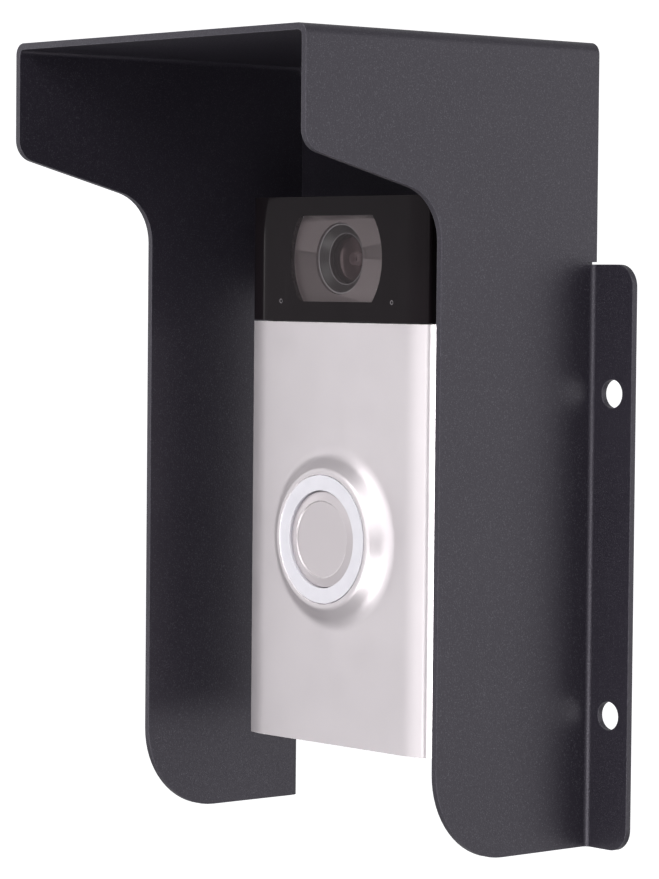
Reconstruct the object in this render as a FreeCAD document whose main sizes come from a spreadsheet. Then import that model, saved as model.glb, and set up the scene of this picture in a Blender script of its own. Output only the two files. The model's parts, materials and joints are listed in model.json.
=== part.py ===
import FreeCAD, Part
import math
import os
import re
import Sketcher
from FreeCAD import Vector

# Battery video doorbell on its wall bracket, under a folded steel rain hood.
# Millimetres. The wall is the plane Y = 0, everything stands out from it towards -Y, and +Z is up.
# The origin is on the wall, at the middle of the doorbell's height and width.
# A depth is called a reach: the distance from the wall plane to a face, measured forwards.

DIMENSIONS = [
    # doorbell, overall
    ("bell_width", 62.0, "doorbell, side to side"),
    ("bell_height", 126.5, "doorbell, bottom to top"),
    ("bell_reach", 33.3, "wall to the flat front face"),
    ("camera_height", 28.7, "height of the black camera cover"),
    ("curve_width", 6.75, "curved part of the front, on each side"),
    ("crease_width", "=bell_width - 2 * curve_width", "flat part of the front, between its crease lines"),
    ("side_drop", 2.1, "how far the curved sides fall back"),
    ("edge_radius", 1.3, "small radius where a curved side meets the side wall"),
    ("skin", 1.2, "thickness of the faceplate and camera cover"),
    ("hollow_bevel", 3.4, "cut across the inside of each front corner, sideways"),
    ("skirt_depth", 10.1, "front face to the back edge of the faceplate and camera cover"),
    ("skirt_reach", "=bell_reach - skirt_depth", "wall to that back edge"),
    ("seam_gap", 0.3, "gap between faceplate and camera cover"),
    ("fit_gap", 0.3, "clearance between parts that come apart"),
    ("snug_gap", 0.05, "clearance between parts that stay together"),
    ("cut_over", 1.0, "how far a cutting outline runs past the edge it cuts"),
    # rear housing and front frame
    ("housing_back", 2.0, "wall to the back rim of the rear housing"),
    ("recess_floor", 4.5, "wall to the housing's back face, inside the rim"),
    ("step_gap", 0.2, "gap behind the edge of the faceplate"),
    ("housing_step", "=skirt_reach - step_gap", "wall to the step that the faceplate's edge meets"),
    ("lip_length", 6.0, "front lip of the rear housing, front to back"),
    ("housing_front", "=housing_step + lip_length", "wall to the front lip of the rear housing"),
    ("back_wall", 2.0, "thickness of the housing's back wall"),
    ("shell_wall", 1.8, "thickness of the housing's front lip"),
    ("corner_round", 2.0, "corner radius of the housing"),
    ("gasket_width", 2.0, "width of the housing gasket and its ledge"),
    ("gasket_thick", 0.8, "thickness of the housing gasket"),
    ("frame_depth", 7.8, "front face to the back of the front frame"),
    ("frame_back", "=bell_reach - frame_depth", "wall to the back face of the front frame"),
    ("cavity_half", "=bell_width / 2 - skin - fit_gap - shell_wall - gasket_width",
         "inside of the housing, from the centre line"),
    ("frame_thick", 2.0, "thickness of the front frame"),
    ("post_radius", 2.6, "screw posts of the front frame"),
    ("post_side", 8.5, "screw posts, from the doorbell's side"),
    ("post_x", "=bell_width / 2 - post_side", "screw posts, from the centre line"),
    ("post_inset", 8.75, "screw posts, from the doorbell's top and bottom"),
    ("screw_radius", 1.1, "housing screws, shank"),
    ("screw_head_radius", 2.4, "housing screws, head"),
    ("screw_head", 1.1, "housing screws, head height"),
    ("screw_length", 10.0, "housing screws, shank length"),
    ("driver_slot", 0.8, "driver slots in the screw heads"),
    ("screw_slot_length", 2.88, "driver slots of the housing screws, length"),
    ("screw_slot_depth", 0.55, "driver slots of the housing screws, depth"),
    ("peg_radius", 1.5, "snap pegs of the faceplate"),
    ("peg_side", 11.0, "snap pegs, from the doorbell's side"),
    ("peg_x", "=bell_width / 2 - peg_side", "snap pegs, from the centre line"),
    ("peg_inset", 11.0, "snap pegs, from the faceplate's top and bottom edges"),
    ("peg_bite", 1.0, "how far the pegs enter the front frame"),
    # button and light ring
    ("button_rise", 47.7, "centre of the button above the doorbell's bottom"),
    ("button_radius", 11.05, "button cap, outside"),
    ("button_band", 2.15, "sloping band round the button's dish, width"),
    ("button_dish_radius", "=button_radius - button_band", "shallow dish in the button"),
    ("button_dish", 0.3, "depth of the dish"),
    ("dish_slope", 0.2, "slope at the dish's edge, sideways"),
    ("button_fall", 0.6, "fall of the sloping band round the dish"),
    ("button_drop", 0.1, "button's highest edge below the light ring"),
    ("button_gap", 0.2, "gap between the button and the light ring"),
    ("ring_inner", "=button_radius + button_gap", "light ring, inside"),
    ("ring_width", 3.51, "light ring, inside to outside"),
    ("ring_radius", "=ring_inner + ring_width", "light ring, outside"),
    ("ring_gap", 0.2, "gap between the light ring and the dome"),
    ("ring_stand", 0.1, "light ring above the dome's rim"),
    ("rim_width", 0.54, "level rim of the dome, width"),
    ("dome_rim", "=ring_radius + ring_gap + rim_width", "radius of the dome's level rim"),
    ("dome_spread", 6.3, "rim to foot of the dome, sideways"),
    ("dome_radius", "=dome_rim + dome_spread", "foot of the raised dome round the button"),
    ("dome_height", 3.6, "rise of the dome above the front face"),
    ("dome_foot_round", 5.0, "radius of the curve at the dome's foot"),
    ("dome_crest_round", 1.5, "radius of the curve at the dome's crest"),
    ("skirt_lap", 2.14, "foot of the light ring, outside its visible part"),
    ("ring_skirt", "=ring_radius + skirt_lap", "foot of the light ring, outside radius"),
    ("ring_skirt_wall", 0.8, "wall of the light ring's foot"),
    ("shoulder_depth", 0.1, "shoulder of the light ring's foot behind the front face"),
    ("ring_shoulder", "=bell_reach - shoulder_depth", "wall to that shoulder"),
    ("ring_lens_rise", 0.7, "back of the visible part of the light ring before the front face"),
    ("ring_lens_back", "=bell_reach + ring_lens_rise", "wall to that back"),
    ("flange_lap", 1.15, "flange that keeps the button in, outside the cap"),
    ("button_flange", "=button_radius + flange_lap", "radius of that flange"),
    ("button_flange_thick", 1.0, "thickness of that flange"),
    ("flange_room", 0.4, "room round that flange"),
    ("ring_lens_foot", "=button_flange + flange_room", "inside radius of the light ring's foot"),
    ("button_stroke", 0.8, "travel of the button"),
    ("press_gap", 0.1, "gap left under a button that is fully pressed"),
    ("stem_radius", 2.5, "stem behind the button"),
    ("stem_length", 3.2, "length of the stem"),
    ("plunger_radius", 1.5, "plunger of the button's switch"),
    ("plunger_gap", 0.2, "gap left under the pressed plunger"),
    ("switch_size", 6.0, "button switch, square"),
    ("switch_thick", 2.9, "button switch, height above the board"),
    ("switch_bore", 2.0, "depth of the plunger's bore in the switch"),
    ("seal_room", 0.2, "button seal inside the light ring's foot"),
    ("seal_outer", "=ring_lens_foot - seal_room", "button seal, outside radius"),
    ("seal_width", 2.9, "button seal, wall"),
    ("seal_inner", "=seal_outer - seal_width", "button seal, inside radius"),
    ("ring_board_radius", "=ring_skirt - ring_skirt_wall - fit_gap",
     "light ring circuit board, outside radius"),
    ("ring_board_hole", 3.2, "hole in that board for the stem"),
    ("board_thin", 1.2, "thickness of the small boards"),
    ("led_inset", 1.5, "lamps inside the edge of that board"),
    ("ring_led_radius", "=ring_board_radius - led_inset", "circle of the light ring's lamps"),
    ("led_size", 1.8, "lamp, square"),
    ("led_thick", 0.8, "lamp, height"),
    # camera
    ("lens_drop", 14.3, "lens centre below the doorbell's top"),
    ("window_radius", 16.1, "camera window, curved ends"),
    ("window_half", 9.9, "camera window, half height"),
    ("plate_margin", 1.0, "lens plate, extra all round the window"),
    ("plate_thick", 0.9, "lens plate"),
    ("lens_radius", 8.3, "hole in the lens plate"),
    ("bezel_gap", 0.1, "lens bezel inside that hole"),
    ("bezel_rim", 0.5, "rim of the lens bezel"),
    ("bezel_depth", 0.6, "front of the lens bezel behind the window"),
    ("bezel_front", "=bell_reach - skin - bezel_depth", "wall to the front of the lens bezel"),
    ("funnel_depth", 1.6, "depth of the bezel's funnel"),
    ("funnel_back", "=bezel_front - funnel_depth", "wall to the back of that funnel"),
    ("glass_radius", 5.7, "front lens, radius"),
    ("glass_seat", 2.3, "back of the front lens behind the funnel"),
    ("glass_back", "=funnel_back - glass_seat", "wall to the back of the front lens"),
    ("glass_edge", 1.2, "front lens, thickness at its edge"),
    ("glass_crown", 1.3, "front lens, height of its dome"),
    ("bezel_floor", 1.2, "thickness of the bezel behind the front lens"),
    ("bezel_back", "=glass_back - bezel_floor", "wall to the back of the lens bezel"),
    ("barrel_radius", 6.6, "lens barrel, outside"),
    ("barrel_bore", 4.6, "lens barrel, inside"),
    ("barrel_length", 7.8, "lens barrel, front to back"),
    ("barrel_back", "=bezel_back - barrel_length", "wall to the back of the lens barrel"),
    ("stop_thick", 0.6, "aperture disc"),
    ("stop_radius", 1.5, "hole in the aperture disc"),
    ("inner_lens_thick", 1.8, "thickness of the two lenses in the barrel"),
    ("barrel_lip", 0.4, "rear lens inside the barrel's back end"),
    ("holder_size", 15.0, "camera holder, square"),
    ("holder_wall", 1.5, "camera holder, walls"),
    ("holder_front", 0.6, "camera holder, thickness of its front"),
    ("holder_lip", 0.6, "camera holder, narrower than the barrel's bore"),
    ("sensor_size", 8.0, "image sensor, square"),
    ("sensor_thick", 1.0, "image sensor"),
    ("filter_thick", 0.5, "infrared filter"),
    ("holder_height", 3.4, "camera holder, front to back"),
    ("camera_board_back", "=barrel_back - holder_height - board_thin",
     "wall to the back of the camera board"),
    ("camera_board_gap", 2.9, "camera board, from the screw posts"),
    ("camera_board_width", "=2 * (post_x - post_radius - camera_board_gap)", "camera board, width"),
    ("camera_board_height", 17.0, "camera board, height"),
    ("night_lamp_x", 12.5, "infrared lamps, from the centre line"),
    ("night_lamp_size", 3.6, "infrared lamps, square"),
    ("lamp_gap", 0.5, "infrared lamps behind the lens plate"),
    ("port_x", 19.5, "microphone ports, from the centre line"),
    ("port_rise", 4.5, "microphone ports above the seam"),
    ("port_radius", 0.55, "microphone ports"),
    ("mesh_radius", 1.6, "dust meshes behind the ports"),
    ("mesh_thick", 0.3, "dust meshes"),
    ("mic_radius", 2.1, "microphones"),
    # boards, battery and speaker
    ("board_thick", 1.6, "main board"),
    ("speaker_thick", 3.2, "speaker, depth"),
    ("speaker_gap", 0.1, "speaker before the main board"),
    ("board_back", "=frame_back - gasket_thick - speaker_thick - speaker_gap - board_thick",
         "wall to the back of the main board"),
    ("board_gap", 3.2, "main board, from the housing's side walls"),
    ("board_width", "=2 * (cavity_half - board_gap)", "main board, width"),
    ("board_rise", 12.25, "main board's lower edge above the doorbell's bottom"),
    ("ribbon_rise", 17.45, "main board's top edge below the camera board"),
    ("board_height", "=bell_height - lens_drop - camera_board_height / 2 - ribbon_rise - board_rise",
         "main board, height"),
    ("shield_width", 32.0, "shield can, width"),
    ("shield_height", 20.0, "shield can, height"),
    ("shield_thick", 2.8, "shield can, depth"),
    ("shield_skin", 0.3, "shield can, sheet"),
    ("shield_gap", 4.0, "shield can above the button switch"),
    ("chip_size", 12.0, "processor, square"),
    ("chip_thick", 1.2, "processor"),
    ("battery_gap", 3.7, "battery, from the housing's side walls"),
    ("battery_width", "=2 * (cavity_half - battery_gap)", "battery, width"),
    ("battery_round", 2.5, "battery, edge radius"),
    ("battery_rise", 13.25, "battery above the doorbell's bottom"),
    ("battery_top_gap", 3.25, "battery below the rear board"),
    ("rear_board_drop", 30.0, "rear board's lower edge below the doorbell's top"),
    ("battery_height", "=bell_height - rear_board_drop - battery_top_gap - battery_rise",
         "battery, height"),
    ("foam_thick", 0.5, "foam pad behind the battery"),
    ("foam_inset", 3.0, "foam pad, inside the battery's edges"),
    ("plug_width", 8.0, "battery plug, width"),
    ("plug_height", 5.0, "battery plug, height"),
    ("plug_thick", 1.8, "battery plug, depth"),
    ("plug_side", 8.0, "battery plug's centre, from the board's side"),
    ("battery_slack", 0.6, "battery behind its plug"),
    ("battery_thick", "=board_back - plug_thick - battery_slack - recess_floor - back_wall - foam_thick",
         "battery, thickness"),
    ("lead_radius", 0.6, "battery leads"),
    ("lead_pitch", 2.0, "battery leads, apart"),
    ("lead_rise", 4.0, "battery leads, loop above the battery"),
    ("ribbon_width", 9.0, "camera ribbon, width"),
    ("ribbon_thick", 0.3, "camera ribbon"),
    ("ribbon_clear", 0.5, "camera ribbon, flat for this much past each board"),
    ("ribbon_skew", 0.2, "camera ribbon, shift of its outer bends"),
    ("ribbon_land", 3.0, "length of ribbon lying on the main board"),
    ("antenna_thick", 0.8, "antenna strip"),
    ("antenna_depth", 8.0, "antenna strip, front to back"),
    ("antenna_back", 4.0, "antenna strip before the housing's back wall"),
    ("antenna_height", 32.0, "antenna strip, height"),
    ("speaker_width", 24.0, "speaker, width"),
    ("speaker_height", 17.0, "speaker, height"),
    ("speaker_drop", 22.5, "speaker centre below the button"),
    ("speaker_round", 3.0, "speaker, corner radius"),
    ("speaker_seal_x", 2.0, "speaker gasket, side walls"),
    ("speaker_seal_z", 1.0, "speaker gasket, top and bottom walls"),
    ("grille_inset", 4.0, "sound slots, inside the speaker's sides"),
    ("grille_slot", 1.4, "sound slots in the frame, height"),
    ("grille_pitch", 3.0, "sound slots, apart"),
    ("sound_slot_width", 5.0, "sound slots in the faceplate's bottom, width"),
    ("sound_slot_pitch", 7.5, "sound slots in the faceplate's bottom, apart"),
    # rear board, charging port, terminals and setup button
    ("rear_board_back", 9.2, "wall to the back of the rear board"),
    ("rear_board_gap", 0.9, "rear board, from the screw posts"),
    ("rear_board_width", "=2 * (post_x - post_radius - rear_board_gap)", "rear board, width"),
    ("rear_board_height", 22.0, "rear board, height"),
    ("usb_drop", 13.5, "charging port below the doorbell's top"),
    ("usb_width", 8.0, "charging port, width"),
    ("usb_height", 3.0, "charging port, height"),
    ("usb_wall", 0.4, "charging port, shell"),
    ("usb_tongue", 1.0, "charging port, depth of its floor"),
    ("setup_side", 5.0, "setup button, from the rear board's side"),
    ("setup_x", "=rear_board_width / 2 - setup_side", "setup button, from the centre line"),
    ("setup_radius", 2.5, "setup button"),
    ("setup_gap", 0.2, "setup button in its hole"),
    ("setup_flange", 3.3, "setup button, flange"),
    ("setup_flange_thick", 0.6, "setup button, flange thickness"),
    ("setup_sink", 0.2, "setup button below the back face"),
    ("setup_stroke", 0.4, "travel of the setup button"),
    ("setup_switch_size", 6.0, "setup switch, square"),
    ("setup_switch_thick", 1.5, "setup switch, height"),
    ("terminal_x", 7.5, "terminals, from the centre line"),
    ("terminal_drop", 24.5, "terminals below the doorbell's top"),
    ("terminal_size", 8.0, "terminal plates, square"),
    ("terminal_room", 0.2, "terminal plates in their pockets"),
    ("block_side", 2.0, "block behind the terminals, past their sides"),
    ("block_end", 1.5, "block behind the terminals, past their ends"),
    ("terminal_plate", 0.8, "terminal plates, thickness"),
    ("terminal_sink", 2.5, "depth of the terminals' pockets"),
    ("terminal_screw_radius", 1.4, "terminal screws, shank"),
    ("terminal_head_radius", 2.8, "terminal screws, head"),
    ("terminal_head", 1.3, "terminal screws, head height"),
    ("terminal_slot_length", 6.6, "driver slots of the terminal screws, length"),
    ("terminal_slot_depth", 0.65, "driver slots of the terminal screws, depth"),
    # wall bracket and its lock
    ("bracket_side", 9.0, "bracket plate, inside the doorbell's sides"),
    ("bracket_width", "=bell_width - 2 * bracket_side", "bracket plate, width"),
    ("bracket_reach", 4.1, "wall to the front of the bracket plate"),
    ("bracket_top_inset", 10.0, "bracket plate below the doorbell's top"),
    ("bracket_round", 4.0, "bracket plate, corner radius"),
    ("bracket_hole_side", 5.0, "bracket screw holes, inside the plate's sides"),
    ("bracket_hole_x", "=bracket_width / 2 - bracket_hole_side",
         "bracket screw holes, from the centre line"),
    ("bracket_hole_drop", 6.25, "upper bracket screw holes below the plate's top"),
    ("bracket_hole_z", "=bell_height / 2 - bracket_top_inset - bracket_hole_drop",
         "bracket screw holes, above and below the middle"),
    ("bracket_hole_radius", 2.2, "bracket screw holes"),
    ("ear_length", 5.0, "locking ears of the bracket, sideways"),
    ("ear_height", 7.0, "locking ears, height"),
    ("ear_thick", 1.2, "locking ears, thickness"),
    ("ear_z", 30.0, "locking ears, above and below the middle"),
    ("ledge_thick", 0.6, "ledges of the housing behind the ears"),
    ("ledge_width", 3.2, "ledges, sideways"),
    ("lift", 8.0, "how far the doorbell lifts to come off the bracket"),
    ("wire_width", 14.0, "wire opening of the bracket, width"),
    ("wire_height", 15.0, "wire opening of the bracket, height"),
    ("wire_drop", 14.75, "wire opening of the bracket, below the terminals"),
    ("wire_z", "=bell_height / 2 - terminal_drop - wire_drop", "wire opening above the middle"),
    ("shelf_width", 20.0, "shelf under the doorbell, width"),
    ("shelf_reach", 14.0, "wall to the front of the shelf"),
    ("shelf_rise", 1.6, "shelf above the doorbell's bottom"),
    ("shelf_thick", 2.0, "shelf thickness"),
    ("lock_reach", 9.5, "wall to the security screw's axis"),
    ("lock_radius", 1.45, "security screw, shank"),
    ("lock_clearance", 0.25, "security screw in the shelf"),
    ("lock_running", 0.05, "security screw in its brass insert"),
    ("lock_length", 7.5, "security screw, shank length"),
    ("lock_head_radius", 2.7, "security screw, head"),
    ("lock_head", 1.5, "security screw, head height"),
    ("lock_socket", 1.35, "socket in the security screw's head"),
    ("lock_socket_depth", 0.75, "depth of that socket"),
    ("insert_radius", 2.3, "brass insert, outside"),
    ("insert_length", 6.0, "brass insert, length"),
    ("boss_width", 22.0, "block round the insert, width"),
    ("boss_height", 11.5, "block round the insert, height above the bottom"),
    ("boss_reach", 16.5, "wall to the front of that block"),
    # rain hood
    ("hood_width", 103.6, "hood, outside of its side panels"),
    ("hood_depth", 86.4, "hood, wall to the front of the roof"),
    ("hood_side_depth", 47.6, "hood, wall to the front of the lower side panels"),
    ("hood_above", 34.5, "roof above the doorbell"),
    ("hood_below", 20.1, "side panels below the doorbell"),
    ("brow_drop", 26.0, "roof to the brow's lower front corner"),
    ("notch_drop", 36.0, "roof to where the brow meets the lower side panel"),
    ("metal", 1.5, "sheet thickness"),
    ("bend", 1.2, "inside radius of the folds"),
    ("relief", 0.3, "free back edges stop this far short of the wall"),
    ("relief_slot", 0.5, "slot cut at the end of a fold"),
    ("relief_past", 0.5, "how far those slots run past the fold"),
    ("foot_round", 20.0, "lower front corners"),
    ("brow_round", 5.0, "lower front corners of the brow"),
    ("notch_round", 12.0, "inner corners under the brow"),
    ("flange_width", 12.5, "wall flanges, sideways"),
    ("flange_drop", 49.7, "roof to the top of the flanges"),
    ("flange_round", 5.0, "flange corners"),
    ("flange_hole_x", 6.4, "flange holes, outside the side panels"),
    ("flange_hole_low", 30.2, "lower flange holes above the hood's bottom"),
    ("flange_hole_pitch", 72.3, "flange holes, apart"),
    ("flange_hole_radius", 3.2, "flange holes"),
    ("tab_gap", 0.3, "rear plate, from the side panels"),
    ("tab_width", "=hood_width - 2 * (metal + tab_gap)", "rear plate that hangs from the roof, width"),
    ("tab_fold_width", "=hood_width - 2 * (metal + bend + relief_slot)", "its fold under the roof, width"),
    ("tab_margin", 6.0, "rear plate below the bracket's upper holes"),
    ("tab_hole_extra", 0.5, "holes in the rear plate, larger than the bracket's by this"),
    ("tab_round", 3.0, "rear plate, lower corners"),
]

SIDES = (-1, 1)
CORNERS = ((-1, -1), (1, -1), (1, 1), (-1, 1))
RING_LEDS = 12
GRILLE_SLOTS = 5
SOUND_SLOTS = 5
LEAD_BEND = 0.45

doc = FreeCAD.newDocument("video_doorbell")
sheet = doc.addObject("Spreadsheet::Sheet", "dims")
for row, (alias, number, meaning) in enumerate(DIMENSIONS, start=1):
    sheet.set(f"A{row}", meaning)
    sheet.set(f"B{row}", str(number))
    sheet.setAlias(f"B{row}", alias)
doc.recompute()

WORDS = re.compile(r"\b(" + "|".join(alias for alias, _, _ in DIMENSIONS) + r")\b")
SUBPARTS = []


def bind(words):
    """The expression with each dimension's name pointing at its spreadsheet cell."""
    return WORDS.sub(r"dims.\1", str(words))


def value(words):
    """What the expression comes to, in millimetres."""
    return float(sheet.evalExpression(bind(words)))


# Places that several pieces share.
BELL_TOP = "(bell_height / 2)"
BELL_BOTTOM = "(-bell_height / 2)"
SEAM = "(bell_height / 2 - camera_height)"
LENS_Z = "(bell_height / 2 - lens_drop)"
BUTTON_Z = "(button_rise - bell_height / 2)"
PORT_Z = f"({SEAM} + port_rise)"
FACE_BACK = "(bell_reach - skin)"
LIP_INSET = "(skin + fit_gap)"
CAVITY_X = f"(bell_width / 2 - {LIP_INSET} - shell_wall)"
CAVITY_Z = f"(bell_height / 2 - {LIP_INSET} - shell_wall)"
FLOOR = "(recess_floor + back_wall)"
FRAME_FRONT = "(frame_back + frame_thick)"
RING_FRONT = "(bell_reach + dome_height + ring_stand)"
BUTTON_TOP = f"({RING_FRONT} - button_drop)"
BUTTON_BACK = "(ring_lens_back - fit_gap - button_flange_thick)"
FLANGE_FRONT = f"({BUTTON_BACK} + button_flange_thick)"
STEM_END = f"({BUTTON_BACK} - stem_length)"
RING_BOARD_FRONT = f"({FRAME_FRONT} + board_thin)"
BOARD_FRONT = "(board_back + board_thick)"
SWITCH_FRONT = f"({BOARD_FRONT} + switch_thick)"
CAMERA_BOARD_FRONT = "(camera_board_back + board_thin)"
SENSOR_FRONT = f"({CAMERA_BOARD_FRONT} + sensor_thick)"
PLATE_BACK = f"({FACE_BACK} - plate_thick)"
BOARD_LOW = f"({BELL_BOTTOM} + board_rise)"
BOARD_HIGH = f"({BOARD_LOW} + board_height)"
BATTERY_LOW = f"({BELL_BOTTOM} + battery_rise)"
BATTERY_HIGH = f"({BATTERY_LOW} + battery_height)"
BATTERY_BACK = f"({FLOOR} + foam_thick)"
BATTERY_FRONT = f"({BATTERY_BACK} + battery_thick)"
REAR_BOARD_LOW = f"({BELL_TOP} - rear_board_drop)"
USB_Z = f"({BELL_TOP} - usb_drop)"
TERMINAL_Z = f"({BELL_TOP} - terminal_drop)"
TERMINAL_FLOOR = "(recess_floor + terminal_sink)"
SPEAKER_Z = f"({BUTTON_Z} - speaker_drop)"
SHELF_LOW = f"({BELL_BOTTOM} + shelf_rise)"
SHELF_HIGH = f"({SHELF_LOW} + shelf_thick)"
BRACKET_TOP = f"({BELL_TOP} - bracket_top_inset)"
HOOD_TOP = f"({BELL_TOP} + hood_above)"
HOOD_BOTTOM = f"({BELL_BOTTOM} - hood_below)"
TAB_BOTTOM = "(bracket_hole_z - tab_margin)"
EAR_TIP = "(bracket_width / 2 + ear_length)"


def pin(sketch, geometry, point, across, up):
    """Fixes a point of the sketch to two expressions."""
    for kind, words in (("DistanceX", across), ("DistanceY", up)):
        index = sketch.addConstraint(
            Sketcher.Constraint(kind, -1, 1, geometry, point, value(words))
        )
        sketch.setExpression(f"Constraints[{index}]", bind(words))


def size(sketch, kind, geometry, words):
    """Fixes a radius of the sketch to an expression."""
    index = sketch.addConstraint(Sketcher.Constraint(kind, geometry, value(words)))
    sketch.setExpression(f"Constraints[{index}]", bind(words))


def spot(across, up):
    return Vector(value(across), value(up), 0)


def polygon(*corners):
    """A closed outline of straight lines through corners given as pairs of expressions."""

    def draw(sketch):
        first = sketch.GeometryCount
        spots = [spot(*corner) for corner in corners]
        for here, there in zip(spots, spots[1:] + spots[:1]):
            sketch.addGeometry(Part.LineSegment(here, there), False)
        for index, corner in enumerate(corners):
            before = first + (index - 1) % len(corners)
            sketch.addConstraint(Sketcher.Constraint("Coincident", before, 2, first + index, 1))
            pin(sketch, first + index, 1, *corner)

    return draw


def rectangle(left, right, low, high):
    return polygon((left, low), (right, low), (right, high), (left, high))


def box_at(across, up, width, height):
    """A rectangle given by its centre and size."""
    return rectangle(
        f"{across} - {width} / 2",
        f"{across} + {width} / 2",
        f"{up} - {height} / 2",
        f"{up} + {height} / 2",
    )


def circle(across, up, radius):
    def draw(sketch):
        ring = Part.Circle(spot(across, up), Vector(0, 0, 1), value(radius))
        index = sketch.addGeometry(ring, False)
        pin(sketch, index, 3, across, up)
        size(sketch, "Radius", index, radius)

    return draw


def cut_circle(across, up, radius, half):
    """A circle with its top and bottom cut off level: the shape of the camera window."""

    def draw(sketch):
        centre = spot(across, up)
        lean = math.asin(value(half) / value(radius))
        arcs = []
        for start in (-lean, math.pi - lean):
            whole = Part.Circle(centre, Vector(0, 0, 1), value(radius))
            arc = Part.ArcOfCircle(whole, start, start + 2 * lean)
            arcs.append(sketch.addGeometry(arc, False))
        right, left = arcs
        ends = [sketch.Geometry[index] for index in arcs]
        top = sketch.addGeometry(Part.LineSegment(ends[0].EndPoint, ends[1].StartPoint), False)
        bottom = sketch.addGeometry(Part.LineSegment(ends[1].EndPoint, ends[0].StartPoint), False)
        pin(sketch, right, 3, across, up)
        pin(sketch, left, 3, across, up)
        size(sketch, "Radius", right, radius)
        size(sketch, "Radius", left, radius)
        for arc, line in ((right, top), (top, left), (left, bottom), (bottom, right)):
            sketch.addConstraint(Sketcher.Constraint("Coincident", arc, 2, line, 1))
        for line, words in ((top, f"{up} + {half}"), (bottom, f"{up} - {half}")):
            sketch.addConstraint(Sketcher.Constraint("Horizontal", line))
            index = sketch.addConstraint(
                Sketcher.Constraint("DistanceY", -1, 1, line, 1, value(words))
            )
            sketch.setExpression(f"Constraints[{index}]", bind(words))

    return draw


class Piece:
    """One sub-part: a PartDesign body whose sketches and features read the spreadsheet."""

    def __init__(self, name):
        self.name = name
        self.body = doc.addObject("PartDesign::Body", name)
        self.body.Label = name
        self.body.AllowCompound = True
        SUBPARTS.append(self.body)

    def sketch(self, plane, offset, outlines):
        """Outlines on a plane parallel to XY, XZ or YZ, at an offset along the plane's normal."""
        drawing = self.body.newObject("Sketcher::SketchObject", f"{self.name}_sketch")
        for feature in self.body.Origin.OriginFeatures:
            if feature.Role == f"{plane}_Plane":
                drawing.AttachmentSupport = [(feature, "")]
        drawing.MapMode = "FlatFace"
        drawing.setExpression("AttachmentOffset.Base.z", bind(offset))
        for draw in outlines:
            draw(drawing)
        return drawing

    def feature(self, kind, plane, offset, outlines, length):
        made = self.body.newObject(f"PartDesign::{kind}", f"{self.name}_{kind.lower()}")
        made.Profile = self.sketch(plane, offset, outlines)
        made.setExpression("Length", bind(length))
        self.rebuild(made)
        return made

    def rebuild(self, made):
        """Recomputes, and stops if the feature just made has failed."""
        doc.recompute()
        if made.State != ["Up-to-date"]:
            raise RuntimeError(f"{made.Name} failed: {made.State}")

    def pad(self, plane, low, high, *outlines):
        """Material between two offsets. On XZ the offset is the reach from the wall."""
        self.feature("Pad", plane, low, outlines, f"({high}) - ({low})")
        return self

    def cut(self, plane, low, high, *outlines):
        """Removes what lies between two offsets, and stops if that is nothing."""
        before = self.body.Shape.Volume
        self.feature("Pocket", plane, high, outlines, f"({high}) - ({low})")
        if self.body.Shape.Volume > before - 1e-6:
            raise RuntimeError(f"a pocket of {self.name} removes nothing")
        return self

    def turn(self, across, up, *outlines):
        """A solid of revolution about an axis that runs straight out of the wall.
        The outlines are drawn on the XY plane as (radius, -reach) about X = 0, then placed."""
        made = self.body.newObject("PartDesign::Revolution", f"{self.name}_revolution")
        drawing = self.sketch("XY", up, outlines)
        drawing.setExpression("AttachmentOffset.Base.x", bind(across))
        made.Profile = drawing
        made.ReferenceAxis = (drawing, ["V_Axis"])
        made.Angle = 360
        self.rebuild(made)
        return self

    def fillet(self, radius, *choices):
        """Rounds every edge that any of the choices picks."""
        doc.recompute()
        tip = self.body.Tip
        names = [
            f"Edge{index}"
            for index, edge in enumerate(tip.Shape.Edges, start=1)
            if any(choice(edge) for choice in choices)
        ]
        if not names:
            raise RuntimeError(f"{self.name} has no such edge to round")
        made = self.body.newObject("PartDesign::Fillet", f"{self.name}_fillet")
        made.Base = (tip, names)
        made.setExpression("Radius", bind(radius))
        self.rebuild(made)
        return self


AXES = {"X": 0, "Y": 1, "Z": 2}


def along(axis, first, second):
    """Picks straight edges parallel to an axis, by their other two coordinates in X, Y, Z order."""
    others = [index for name, index in AXES.items() if name != axis]
    wanted = (value(first), value(second))

    def picks(edge):
        if edge.Curve.TypeId != "Part::GeomLine":
            return False
        ends = [vertex.Point for vertex in edge.Vertexes]
        return len(ends) == 2 and all(
            abs(end[index] - target) < 0.01
            for end in ends
            for index, target in zip(others, wanted)
        )

    return picks


def signed(sign, words):
    """The expression, or its opposite."""
    return f"({words})" if sign > 0 else f"(-({words}))"


def sided(side, near, far):
    """Left and right of a span that runs outwards from near to far on one side."""
    return (near, far) if side > 0 else (f"-{far}", f"-{near}")


def corner_edges(axis, half_width, half_height, middle="0"):
    """The four corner edges of a block, parallel to Y, centred on X = 0 and Z = middle."""
    return [
        along(axis, signed(side, half_width), f"{middle} + {signed(height, half_height)}")
        for side, height in CORNERS
    ]


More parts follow.
